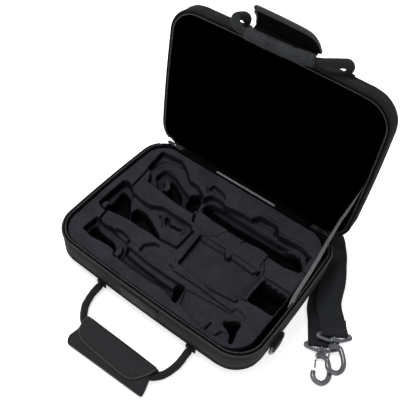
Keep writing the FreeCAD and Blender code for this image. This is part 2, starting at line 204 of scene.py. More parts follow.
def plush(name, col, var=0.3, sheen=0.25, depth=0.6, wall=None):
    """Short pile. wall=(steep, deep, z_low, z_high) paints shade into the base colour: steep faces are darkened towards
    steep, faces low in the foam towards deep, and faces turned to the front are darkened less, as if lit from there.
    """
    t = Tree(name)
    nap, mid, pile = t.noise(34, 4, 0.6), t.noise(420, 4, 0.75), t.noise(1100, 3, 0.7)
    mix = t.math("ADD", t.math("MULTIPLY", nap, 0.25), t.math("ADD", t.math("MULTIPLY", mid, 0.5), t.math("MULTIPLY", pile, 0.25)))
    tone = t.ramp(mix, [(0.37, shade(col, 1 - var)), (0.5, col), (0.66, shade(col, 1 + var))])
    if wall:
        steep, deep, zl, zh = wall
        # painted shade: the base colour is darkened on walls and low in the pockets, and less on walls facing the
        # front, a painted light from that side
        geo = t.n("ShaderNodeNewGeometry")
        _, ny, nz = t.xyz(geo.outputs["Normal"])
        front = t.math("MULTIPLY", t.math("MAXIMUM", t.math("MULTIPLY", ny, -1.0), 0.0), 0.30)
        up = t.remap(t.math("ADD", t.math("ABSOLUTE", nz), front), 0.15, 0.93, steep, 1.0)
        depth_shade = t.remap(t.xyz()[2], zl, zh, deep, 1.0)
        k = t.math("MULTIPLY", up, depth_shade)
        mul = t.n("ShaderNodeVectorMath", operation="SCALE")
        t.link(tone, mul.inputs[0])
        t.link(k, mul.inputs["Scale"])
        tone = mul.outputs[0]
    t.link(tone, t.b.inputs["Base Color"])
    t.link(t.remap(pile, 0.3, 0.7, 0.85, 1.0), t.b.inputs["Roughness"])
    t.set(Sheen_Weight=sheen, Sheen_Roughness=0.55, Specular_IOR_Level=0.0)
    t.bump(t.math("ADD", t.math("MULTIPLY", pile, 1.0), t.math("MULTIPLY", mid, 0.9)), depth)
    return t.m


def leather(name, col, grain=520, var=0.22, rough=(0.45, 0.65), depth=0.25, spec=0.2):
    t = Tree(name)
    cell, fine, big = t.voronoi(grain), t.noise(1400, 2), t.noise(45, 4)
    mix = t.math("ADD", t.math("MULTIPLY", big, 0.65), t.math("MULTIPLY", t.remap(cell, 0.0, 0.35, 0.0, 1.0), 0.3))
    t.link(t.ramp(mix, [(0.25, shade(col, 1 - var)), (0.5, col), (0.8, shade(col, 1 + var))]), t.b.inputs["Base Color"])
    t.link(t.remap(big, 0.3, 0.7, rough[0], rough[1]), t.b.inputs["Roughness"])
    t.set(Specular_IOR_Level=spec, Sheen_Weight=0.02)
    t.bump(t.math("ADD", t.remap(cell, 0.0, 0.25, 0.0, 1.0), t.math("MULTIPLY", fine, 0.4)), depth)
    return t.m


def webbing(name, col, rib=1.7, var=0.22, sheen=0.2, depth=0.35, uneven=0.5):
    """Ribs across the strap and herringbone along it, from UV in metres."""
    t = Tree(name)
    u, v, _ = t.xyz(t.tc.outputs["UV"])
    zig = t.math("MULTIPLY", t.math("ABSOLUTE", t.wave(v, 9.0)), 0.0012)
    ribs = t.wave(t.math("ADD", u, zig), rib)
    warp = t.wave(v, 1.15)
    mid, fine = t.noise(120, 4), t.noise(1300, 2)
    mix = t.math("ADD", t.math("MULTIPLY", ribs, 0.1), t.math("ADD", t.math("MULTIPLY", warp, 0.06), t.math("ADD", t.math("MULTIPLY", mid, uneven), 0.25)))
    t.link(t.ramp(mix, [(0.25, shade(col, 1 - var)), (0.5, col), (0.78, shade(col, 1 + var))]), t.b.inputs["Base Color"])
    t.link(t.remap(fine, 0.3, 0.7, 0.6, 0.85), t.b.inputs["Roughness"])
    t.set(Sheen_Weight=sheen, Sheen_Roughness=0.4, Specular_IOR_Level=0.15)
    t.bump(t.math("ADD", t.math("ADD", t.math("MULTIPLY", ribs, 0.5), t.math("MULTIPLY", warp, 0.35)), t.math("MULTIPLY", fine, 0.4)), depth)
    return t.m


def satin(name, col):
    t = Tree(name)
    u, v, _ = t.xyz(t.tc.outputs["UV"])
    line, mid = t.wave(u, 0.6), t.noise(140, 3)
    mix = t.math("ADD", t.math("MULTIPLY", line, 0.08), mid)
    t.link(t.ramp(mix, [(0.3, shade(col, 0.8)), (0.5, col), (0.75, shade(col, 1.2))]), t.b.inputs["Base Color"])
    t.link(t.remap(mid, 0.3, 0.7, 0.32, 0.5), t.b.inputs["Roughness"])
    t.set(Anisotropic=0.5, Sheen_Weight=0.2, Specular_IOR_Level=0.5)
    t.bump(t.math("ADD", t.math("MULTIPLY", line, 0.4), t.math("MULTIPLY", t.wave(v, 0.8), 0.2)), 0.08)
    return t.m


def plastic(name, col, rough=(0.28, 0.42)):
    t = Tree(name)
    big, fine = t.noise(60, 4), t.noise(1600, 2)
    t.link(t.ramp(big, [(0.3, shade(col, 0.85)), (0.55, col), (0.8, shade(col, 1.25))]), t.b.inputs["Base Color"])
    t.link(t.remap(big, 0.3, 0.7, rough[0], rough[1]), t.b.inputs["Roughness"])
    t.set(Specular_IOR_Level=0.55, Coat_Weight=0.15, Coat_Roughness=0.3)
    t.bump(t.math("ADD", t.math("MULTIPLY", fine, 0.5), big), 0.06)
    return t.m


def metal(name, col, rough=(0.22, 0.4)):
    t = Tree(name)
    big, fine = t.noise(90, 4), t.noise(1500, 3)
    t.link(t.ramp(big, [(0.3, shade(col, 0.8)), (0.6, col)]), t.b.inputs["Base Color"])
    t.link(t.remap(fine, 0.3, 0.7, rough[0], rough[1]), t.b.inputs["Roughness"])
    t.set(Metallic=1.0, Specular_IOR_Level=0.5)
    t.bump(fine, 0.04)
    return t.m


M_NYLON = fabric("shell_weave", (0.0105, 0.011, 0.0112), 1.3, 0.4, sheen=0.02)
# the lid's shell nylon and lid piping are darker copies of the base's shell and piping: painted shade on the lid
M_LIDNYLON_SHADED = fabric("lid_weave", (0.0080, 0.0083, 0.0088), 1.3, 0.4, sheen=0.02)
M_PIPE = fabric("piping_weave", (0.030, 0.031, 0.032), 0.9, 0.3, sheen=0.05)
M_LIDPIPE_SHADED = fabric("lid_piping_weave", (0.0085, 0.0088, 0.0092), 0.9, 0.3, sheen=0.02)
M_WELT = fabric("welt_weave", (0.020, 0.0205, 0.0215), 0.9, 0.35, sheen=0.03)
M_TAPE = fabric("tape_weave", (0.0012, 0.0012, 0.0015), 0.8, 0.3, sheen=0.0, spec=0.03)
M_COIL = plastic("coil_plastic", (0.004, 0.004, 0.005))
# insert pile with painted shade on its steep and low faces
M_PLUSH_PAINTED_SHADE = plush("insert_pile", (0.0235, 0.0228, 0.0285), 0.5, 0.0, wall=(0.03, 0.06, 0.011, 0.037))
M_WALLPLUSH = plush("wall_pile", (0.005, 0.005, 0.0065), 0.3, 0.0)
M_LIDPLUSH = plush("lid_pile", (0.0003, 0.0003, 0.0005), 0.3, 0.0, 0.4)
M_RIBBON = satin("ribbon_satin", (0.105, 0.106, 0.112))
M_STAY = satin("stay_satin", (0.10, 0.101, 0.106))
M_LABEL = leather("label_leather", (0.0062, 0.0048, 0.0042), 700, 0.2, spec=0.08)
M_LEATHER = leather("wrap_leather", (0.0125, 0.0132, 0.0148), 520, 0.3, spec=0.12)
M_SLEEVE = leather("sleeve_leather", (0.019, 0.0205, 0.023), 380, 0.7, depth=0.4, spec=0.15)
M_EDGE = leather("edge_leather", (0.034, 0.035, 0.036), 520, 0.2)
M_SUEDE = plush("suede_inside", (0.0024, 0.0023, 0.0025), 0.3, 0.0, 0.3)
M_CORD = fabric("cord_weave", (0.0105, 0.0118, 0.013), 1.0, 0.45, sheen=0.03)
M_WEB = webbing("strap_web", (0.0105, 0.0115, 0.0132), sheen=0.02)
M_TAB = webbing("tab_web", (0.0040, 0.0043, 0.0048), sheen=0.0)
M_HOOK = plastic("hook_acetal", (0.058, 0.062, 0.073), (0.16, 0.28))
M_RING = plastic("ring_acetal", (0.055, 0.06, 0.065), (0.2, 0.34))
M_NICKEL = metal("nickel_plate", (0.16, 0.16, 0.17))
M_THREAD = fabric("thread", (0.024, 0.024, 0.024), 0.5, 0.2, sheen=0.05, depth=0.05)
M_FRINGE = fabric("cut_edge", (0.09, 0.045, 0.024), 0.6, 0.3, sheen=0.05, depth=0.1)
M_BOARD = fabric("fibreboard", (0.25, 0.2, 0.15), 2.0, 0.2, sheen=0.0)

FLAT = {
    "hook_plastic": M_HOOK, "nickel": M_NICKEL, "board": M_BOARD, "plush": M_PLUSH_PAINTED_SHADE, "lining": M_LIDPLUSH, "shell_nylon": M_NYLON,
    "tape": M_TAPE, "coil": M_COIL, "webbing": M_WEB, "leathercloth": M_LEATHER, "cord": M_CORD, "ribbon": M_RIBBON, "piping": M_PIPE, "label": M_LABEL,
}
for row in frame["record"]["subparts"]:
    if row["node"] in NODES:
        o = NODES[row["node"]]
        o.data.materials.clear()
        o.data.materials.append(FLAT[row["material_slot"]])
for n in ("d_ring_right", "d_ring_left"):
    NODES[n].data.materials.clear()
    NODES[n].data.materials.append(M_RING)


# ------------------------------------------------------------- mesh helpers
def make(name, verts, faces, mat, smooth=True, uv=None, lid=False):
    """A mesh object from points in mm. uv: per-vertex (u, v) in metres."""
    v = np.array(verts, float)
    if lid:
        v = opened(v)
    me = bpy.data.meshes.new(name)
    me.from_pydata((v * MM).tolist(), [], [tuple(int(i) for i in f) for f in faces])
    if uv is not None:
        lay = me.uv_layers.new(name="UVMap")
        idx = np.zeros(len(me.loops), int)
        me.loops.foreach_get("vertex_index", idx)
        lay.data.foreach_set("uv", np.array(uv, float)[idx].ravel())
    me.validate()
    bm = bmesh.new()
    bm.from_mesh(me)
    bmesh.ops.recalc_face_normals(bm, faces=bm.faces)
    bm.to_mesh(me)
    bm.free()
    if smooth:
        me.polygons.foreach_set("use_smooth", [True] * len(me.polygons))
    me.materials.append(mat)
    o = bpy.data.objects.new(name, me)
    bpy.context.scene.collection.objects.link(o)
    return o


def grid_faces(m, n, wrap_u=True, wrap_v=False, off=0):
    """Quads of an m by n grid of points; u is the inner index."""
    f = []
    for i in range(m if wrap_v else m - 1):
        a, b = i * n, ((i + 1) % m) * n
        for j in range(n if wrap_u else n - 1):
            k = (j + 1) % n
            f.append((off + a + j, off + a + k, off + b + k, off + b + j))
    return f


class Bag:
    """Several parts collected into one mesh."""

    def __init__(self):
        self.v, self.f, self.uv = [], [], []
        self.n = 0

    def add(self, v, f, uv=None):
        v = np.array(v, float).reshape(-1, 3)
        self.v.append(v)
        self.f += [tuple(i + self.n for i in q) for q in f]
        self.uv.append(np.zeros((len(v), 2)) if uv is None else np.array(uv, float))
        self.n += len(v)

    def make(self, name, mat, **k):
        return make(name, np.concatenate(self.v), self.f, mat, uv=np.concatenate(self.uv), **k)


def smooth_line(pts, step=2.0, closed=False):
    """Catmull-Rom through the points, resampled evenly."""
    p = np.array(pts, float)
    if closed:
        q = np.vstack([p[-1], p, p[0], p[1]])
    else:
        q = np.vstack([2 * p[0] - p[1], p, 2 * p[-1] - p[-2]])
    out = []
    for i in range(1, len(q) - 2):
        a, b, c, d = q[i - 1], q[i], q[i + 1], q[i + 2]
        k = max(6, int(np.linalg.norm((c - b)[:3]) / 1.0))
        for t in np.linspace(0, 1, k, endpoint=False):
            out.append(0.5 * (2 * b + (c - a) * t + (2 * a - 5 * b + 4 * c - d) * t * t + (3 * b - 3 * c + d - a) * t**3))
    if not closed:
        out.append(q[-2])
    out = np.array(out)
    if closed:
        out = np.vstack([out, out[0]])
    s = np.concatenate([[0], np.cumsum(np.linalg.norm(np.diff(out[:, :3], axis=0), axis=1))])
    n = max(2, int(round(s[-1] / step)) + 1)
    t = np.linspace(0, s[-1], n)
    r = np.stack([np.interp(t, s, out[:, k]) for k in range(out.shape[1])], 1)
    return r[:-1] if closed else r


def frames(p, closed=False, up=(0, 0, 1)):
    """Tangent, side and up at each point, without twist."""
    p = np.array(p, float)
    if closed:
        t = np.roll(p, -1, 0) - np.roll(p, 1, 0)
    else:
        t = np.gradient(p, axis=0)
    t /= np.linalg.norm(t, axis=1)[:, None]
    n = np.zeros_like(t)
    u = np.array(up, float)
    for i in range(len(p)):
        u = u - t[i] * (u @ t[i])
        if np.linalg.norm(u) < 1e-6:
            u = np.array([1.0, 0, 0]) - t[i] * t[i][0]
        u /= np.linalg.norm(u)
        n[i] = u
    s = np.cross(t, n)
    return t, s, n


def tube(bag, p, r, seg=14, closed=False, up=(0, 0, 1), flat=1.0, ribs=0.0, cap=True, pitch=3.0):
    """Round or flattened tube along p; r may vary; ribs gives a twisted cord."""
    p = np.array(p, float)
    t, s, n = frames(p, closed, up)
    r = np.broadcast_to(np.array(r, float), (len(p),))
    ln = np.concatenate([[0], np.cumsum(np.linalg.norm(np.diff(p, axis=0), axis=1))])
    a = np.linspace(0, 2 * math.pi, seg, endpoint=False)
    ring = []
    for i in range(len(p)):
        rr = r[i] * (1 + ribs * np.sin(2 * a + 2 * math.pi * ln[i] / pitch))
        ring.append(p[i] + np.outer(np.cos(a) * rr, s[i]) + np.outer(np.sin(a) * rr * flat, n[i]))
    v = np.array(ring).reshape(-1, 3)
    f = grid_faces(len(p), seg, True, closed)
    if cap and not closed:
        f += [tuple(range(seg))[::-1], tuple((len(p) - 1) * seg + j for j in range(seg))]
    uv = np.stack([np.repeat(ln, seg) * MM, np.tile(a * np.mean(r), len(p)) * MM], 1)
    bag.add(v, f, uv)


def band_mesh(bag, p, w, half, t, edge=None, across=9, crown=0.0, halfs=None):
    """A flat strap along p with width direction w, rounded selvedges."""
    p, w = np.array(p, float), np.array(w, float)
    d = np.gradient(p, axis=0)
    d /= np.linalg.norm(d, axis=1)[:, None]
    w = w - d * (w * d).sum(1)[:, None]
    w /= np.linalg.norm(w, axis=1)[:, None]
    n = np.cross(d, w)
    ln = np.concatenate([[0], np.cumsum(np.linalg.norm(np.diff(p, axis=0), axis=1))])
    prof = []
    for k in range(across):
        x = -1 + 2 * k / (across - 1)
        prof.append((x, t / 2 + crown * (1 - x * x)))
    prof = [(-1, -t / 2 * 0.4), (-1, t / 2 * 0.4)] + [(x * (1 - 0.35 * t / half), h) for x, h in prof] + [(1, t / 2 * 0.4), (1, -t / 2 * 0.4)] + [(x * (1 - 0.35 * t / half), -h + 2 * crown * (1 - x * x)) for x, h in prof[::-1]]
    prof = np.array(prof)
    hw = np.full(len(p), half) if halfs is None else np.array(halfs, float)
    v = p[:, None, :] + w[:, None, :] * (prof[None, :, 0, None] * hw[:, None, None]) + n[:, None, :] * prof[None, :, 1, None]
    m = len(prof)
    f = grid_faces(len(p), m, True, False)
    f += [tuple(range(m))[::-1], tuple((len(p) - 1) * m + j for j in range(m))]
    uv = np.stack([np.repeat(ln, m) * MM, np.tile(prof[:, 0] * half, len(p)) * MM], 1)
    bag.add(v.reshape(-1, 3), f, uv)


def stitch(bag, p, up, pitch=3.0, long=2.1, r=0.34, lift=0.1, closed=False):
    """Separate thread stitches along a line, lying on a surface with normal up."""
    p = smooth_line(p, 0.5) if len(p) < 400 and not closed else np.array(p, float)
    s = np.concatenate([[0], np.cumsum(np.linalg.norm(np.diff(p, axis=0), axis=1))])
    up = np.array(up, float)
    up /= np.linalg.norm(up)
    a = np.linspace(0, 2 * math.pi, 6, endpoint=False)
    c = 0.0
    while c + long < s[-1]:
        e0 = np.array([np.interp(c, s, p[:, k]) for k in range(3)])
        e1 = np.array([np.interp(c + long, s, p[:, k]) for k in range(3)])
        d = (e1 - e0) / np.linalg.norm(e1 - e0)
        side = np.cross(d, up)
        side /= np.linalg.norm(side)
        nn = np.cross(side, d)
        rings = []
        for q, rr, hh in ((0, 0.35, -0.25), (0.15, 0.9, 0.0), (0.5, 1.0, 0.12), (0.85, 0.9, 0.0), (1, 0.35, -0.25)):
            cc = e0 + (e1 - e0) * q + nn * (lift + hh * r * 2)
            rings.append(cc + np.outer(np.cos(a) * rr * r, side) + np.outer(np.sin(a) * rr * r, nn))
        f = grid_faces(5, 6) + [tuple(range(6))[::-1], tuple(24 + j for j in range(6))]
        bag.add(np.array(rings), f)
        c += pitch


def tooth_row(bag, p, side, up, pitch=1.9, size=(1.15, 2.0, 0.9)):
    """Coil links along a line: small rounded loops set side by side."""
    s = np.concatenate([[0], np.cumsum(np.linalg.norm(np.diff(p, axis=0), axis=1))])
    n = int(s[-1] / pitch)
    u8 = np.array([(x, y) for x, y in ((-1, -0.5), (-0.5, -1), (0.5, -1), (1, -0.5), (1, 0.5), (0.5, 1), (-0.5, 1), (-1, 0.5))])
    for i in range(n):
        c = (i + 0.5) * pitch
        k = min(len(p) - 2, int(np.searchsorted(s, c)) - 1)
        t = (c - s[k]) / max(1e-9, s[k + 1] - s[k])
        q = p[k] * (1 - t) + p[k + 1] * t
        d = (p[k + 1] - p[k]) / max(1e-9, np.linalg.norm(p[k + 1] - p[k]))
        sd = side[k]
        up_ = np.array(up, float)
        rings = []
        for x, k2, h in ((-1, 0.75, 0.0), (-0.6, 1, 0.25), (0.6, 1, 0.25), (1, 0.75, 0.0)):
            rings.append(q + sd * x * size[1] / 2 + np.outer(u8[:, 0] * size[0] / 2 * k2, d) + np.outer((u8[:, 1] * 0.5 * k2 + h) * size[2], up_))
        bag.add(np.array(rings), grid_faces(4, 8) + [tuple(range(8))[::-1], tuple(24 + j for j in range(8))])


def outline(inset, dz=None):
    """Plan outline in mm with a fixed number of points, and its outward normals."""
    hx, hy = L / 2 - inset, W / 2 - inset
    R = max(CR - inset, 2.0)
    pts, nor = [], []

    def line(a, b, n, nn):
        for t in np.linspace(0, 1, n, endpoint=False):
            pts.append((a[0] + (b[0] - a[0]) * t, a[1] + (b[1] - a[1]) * t))
            nor.append(nn)

    def arc(cx, cy, a0, n=16):
        for a in np.linspace(a0, a0 + math.pi / 2, n, endpoint=False):
            pts.append((cx + R * math.cos(a), cy + R * math.sin(a)))
            nor.append((math.cos(a), math.sin(a)))

    line((-hx + R, -hy), (hx - R, -hy), 96, (0, -1))
    arc(hx - R, -hy + R, -math.pi / 2)
    line((hx, -hy + R), (hx, hy - R), 60, (1, 0))
    arc(hx - R, hy - R, 0)
    line((hx - R, hy), (-hx + R, hy), 96, (0, 1))
    arc(-hx + R, hy - R, math.pi / 2)
    line((-hx, hy - R), (-hx, -hy + R), 60, (-1, 0))
    arc(-hx + R, -hy + R, math.pi)
    p, n = np.array(pts), np.array(nor, float)
    bx = BOW * (1 - np.clip(p[:, 1] / hy, -1, 1) ** 2) * n[:, 0]
    by = np.where(n[:, 1] < 0, BOW * (1 - np.clip(p[:, 0] / hx, -1, 1) ** 2) * n[:, 1], 0)
    p[:, 0] += bx
    p[:, 1] += by
    return p, n


OUT0, OUTN = outline(0)
NPL = len(OUT0)
ARCLEN = np.concatenate([[0], np.cumsum(np.linalg.norm(np.diff(OUT0, axis=0), axis=1))])


def ring(inset, z, wob=0.0, seed=0.0):
    p, _ = outline(inset)
    q = np.column_stack([p, np.full(len(p), float(z))])
    if wob:
        s = ARCLEN
        k = np.sin(s * 0.021 + seed) * 0.5 + np.sin(s * 0.057 + seed * 2.3) * 0.3 + np.sin(s * 0.113 + seed * 1.7) * 0.2
        q[:, :2] += OUTN * (k * wob)[:, None]
    return q


def shell(name, prof, mat, lid=False, first_cap=True, last_cap=True):
    """Loft of plan rings (inset, z, wobble) with both ends closed by the plan itself."""
    rings = [ring(i, z, w, 1.3 + 0.05 * z) for i, z, w in prof]
    v = np.array(rings).reshape(-1, 3)
    if lid:  # room over the parked sliders at the ends of the zip
        ax = np.abs(v[:, 0])
        s = np.clip((ax - 113) / 3, 0, 1) * np.clip((154 - ax) / 3, 0, 1) * (v[:, 1] > 95) * (v[:, 2] < Z0 + 5)
        v[:, 2] += s * np.clip(Z0 + 4.6 + 0.1 * (v[:, 2] - Z0) - v[:, 2], 0, None)
    f = grid_faces(len(rings), NPL)
    v = v.tolist()
    for flag, base in ((first_cap, 0), (last_cap, (len(rings) - 1) * NPL)):
        if flag:
            f.append(tuple(base + j for j in range(NPL)))
    uv = np.stack([np.tile(ARCLEN, len(rings)) * MM, np.array(v)[:, 2] * MM], 1)
    return make(name, v, f, mat, lid=lid, uv=uv)


def path_on(inset, z, xlim=None):
    """The plan line at an inset; open over the hinge where |x| < xlim."""
    p, n = outline(inset)
    q = np.column_stack([p, np.full(len(p), float(z))])
    if xlim is None:
        return q, n
    keep = ~((q[:, 1] > 95) & (np.abs(q[:, 0]) < xlim))
    k = np.where(keep)[0]
    gap = np.where(np.diff(k) > 1)[0]
    k = np.concatenate([k[gap[0] + 1:], k[: gap[0] + 1]]) if len(gap) else k
    return q[k], n[k]


def resample(p, step, extra=None):
    s = np.concatenate([[0], np.cumsum(np.linalg.norm(np.diff(p, axis=0), axis=1))])
    t = np.linspace(0, s[-1], int(s[-1] / step) + 1)
    out = np.stack([np.interp(t, s, p[:, k]) for k in range(3)], 1)
    if extra is None:
        return out
    e = np.stack([np.interp(t, s, extra[:, k]) for k in range(extra.shape[1])], 1)
    return out, e


# ------------------------------------------------------------- base of case
arc16 = [(16 - 16 * math.sin(a), 16 - 16 * math.cos(a)) for a in np.linspace(0, math.pi / 2, 9)]
prof = [(70, 0.6, 0), (40, 0.3, 0), (22, 0.05, 0)] + [(i, max(z, 0), 0.1) for i, z in arc16]
prof += [(-0.35, 19, 0.35), (-0.8, 24, 0.5), (-1.0, 30, 0.6), (-0.8, 36, 0.5), (-0.3, 41, 0.35), (0.25, 44.2, 0.1), (0.55, 45.2, 0), (0.5, 46.5, 0), (0.6, 48.3, 0), (1.0, 49.1, 0), (1.7, 49.3, 0), (3.4, 49.1, 0), (5.2, 48.9, 0), (5.9, 48.4, 0), (6.0, 47.4, 0)]
base_cover = shell("base_cover", prof + [(6.0, 9.0, 0), (12, 7.6, 0), (60, 7.6, 0)], M_NYLON)
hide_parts("base_panel", "base_wall")
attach(base_cover, "base")
wl = shell("base_wall_lining", [(5.35, 48.6, 0), (5.2, 48.9, 0), (5.6, 49.15, 0), (6.2, 48.6, 0), (6.35, 47.5, 0.1), (6.4, 30, 0.1), (6.4, 10, 0)], M_WALLPLUSH, first_cap=False, last_cap=False)
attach(wl, "base")

for nm, z, ins, rad, body, lid, rep in (
    ("base_hem_cord", 10.3, 0.75, 1.25, "base", False, "base_hem"),
    ("lid_hem_cord", Z1 - 10.5, 0.1, 1.25, "lid", True, "lid_hem"),
):
    bag = Bag()
    p, n = path_on(ins, z)
    pr = smooth_line(p[::4], 1.0, closed=True)
    tube(bag, pr, rad, 8, closed=True, ribs=0.07, pitch=2.4)
    o = bag.make(nm, M_PIPE, lid=lid)
    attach(o, body)
    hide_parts(rep)
for nm, z, body, lid, rep in (("base_piping_cord", 47.4, "base", False, "base_piping"), ("lid_piping_cord", Z0 + 2.7, "lid", True, "lid_piping")):
    bag = Bag()
    p, n = path_on(-0.35, z, 156)
    tube(bag, resample(p, 0.8), 1.45, 8, ribs=0.08, pitch=2.2)
    o = bag.make(nm, M_LIDPIPE_SHADED if lid else M_PIPE, lid=lid)
    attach(o, body)
    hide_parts(rep)

# zip tapes and coils, front and ends
for nm, z, up, body, lid in (("base", BASE_H - 0.55, 1, "base", False), ("lid", Z0 + 0.55, -1, "lid", True)):
    bag = Bag()
    p, n = path_on(3.1, z, 150 if lid else 118)
    p, n = resample(p, 2.0, n)
    band_mesh(bag, p, np.column_stack([n, np.zeros(len(n))]), 2.05, 0.5, across=5)
    o = bag.make(nm + "_zip_tape_band", M_TAPE, lid=lid)
    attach(o, body)
    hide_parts(nm + "_zip_tape")
    bag = Bag()
    p, n = path_on(4.0, z + up * 0.3, 150)
    p, n = resample(p, 0.95, n)
    tooth_row(bag, p, np.column_stack([n, np.zeros(len(n))]), (0, 0, up), size=(1.15, 2.0, 0.62))
    o = bag.make(nm + "_zip_coil", M_COIL, lid=lid)
    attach(o, body)
    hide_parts(nm + "_zip_teeth")

# wall seams: stitches below the piping and above the hem
bag = Bag()
for z, ins in ((43.2, 0.0), (13.4, 0.1)):
    p, n = path_on(ins, z)
    pr = np.vstack([p, p[:1]])
    s = np.concatenate([[0], np.cumsum(np.linalg.norm(np.diff(pr, axis=0), axis=1))])
    t = np.arange(0, s[-1], 3.2)
    q0 = np.stack([np.interp(t, s, pr[:, k]) for k in range(3)], 1)
    q1 = np.stack([np.interp(t + 2.2, s, pr[:, k]) for k in range(3)], 1)
    for a, b in zip(q0, q1):
        nn = np.array([b[1] - a[1], a[0] - b[0], 0])
        if np.linalg.norm(nn) > 1e-6:
            stitch(bag, [a, (a + b) / 2, b], nn, pitch=9, long=float(np.linalg.norm(b - a)) * 0.95, r=0.28, lift=0.15)
o = bag.make("base_wall_stitches", M_THREAD)
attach(o, "base")

# ----------------------------------------------------------- fitted insert
STEP = 0.75
gx = np.arange(-165, 160.01, STEP)
gy = np.arange(-121, 118.01, STEP)
GX, GY = np.meshgrid(gx, gy, indexing="ij")
FX = np.fft.fftfreq(len(gx), STEP)[:, None]
FY = np.fft.rfftfreq(len(gy), STEP)[None, :]


def blur(a, s):
    return np.fft.irfft2(np.fft.rfft2(a) * np.exp(-2 * (math.pi * s) ** 2 * (FX**2 + FY**2)), s=a.shape)


def mask(poly):
    m = np.zeros(GX.shape, bool)
    n = len(poly)
    for i in range(n):
        (x0, y0), (x1, y1) = poly[i], poly[(i + 1) % n]
        if y0 == y1:
            continue
        c = (y0 > GY) != (y1 > GY)
        m ^= c & (GX < (x1 - x0) * (GY - y0) / (y1 - y0) + x0)
    return m.astype(float)


def step(a, lo, hi):
    t = np.clip((a - lo) / (hi - lo), 0, 1)
    return t * t * (3 - 2 * t)


def along(p, q, half, soft=0.9):
    """1 on a line from p to q of that half width, 0 off it."""
    p, q = np.array(p, float), np.array(q, float)
    d = q - p
    t = np.clip(((GX - p[0]) * d[0] + (GY - p[1]) * d[1]) / (d @ d), 0, 1)
    r = np.hypot(GX - p[0] - t * d[0], GY - p[1] - t * d[1])
    return 1 - step(r, half - soft / 2, half + soft / 2)


# ("level", outline of an area, height, softness), ("groove", line, half
# width, depth) and ("ridge", line, half width, height), all in mm, pressed
# into the foam one after the other

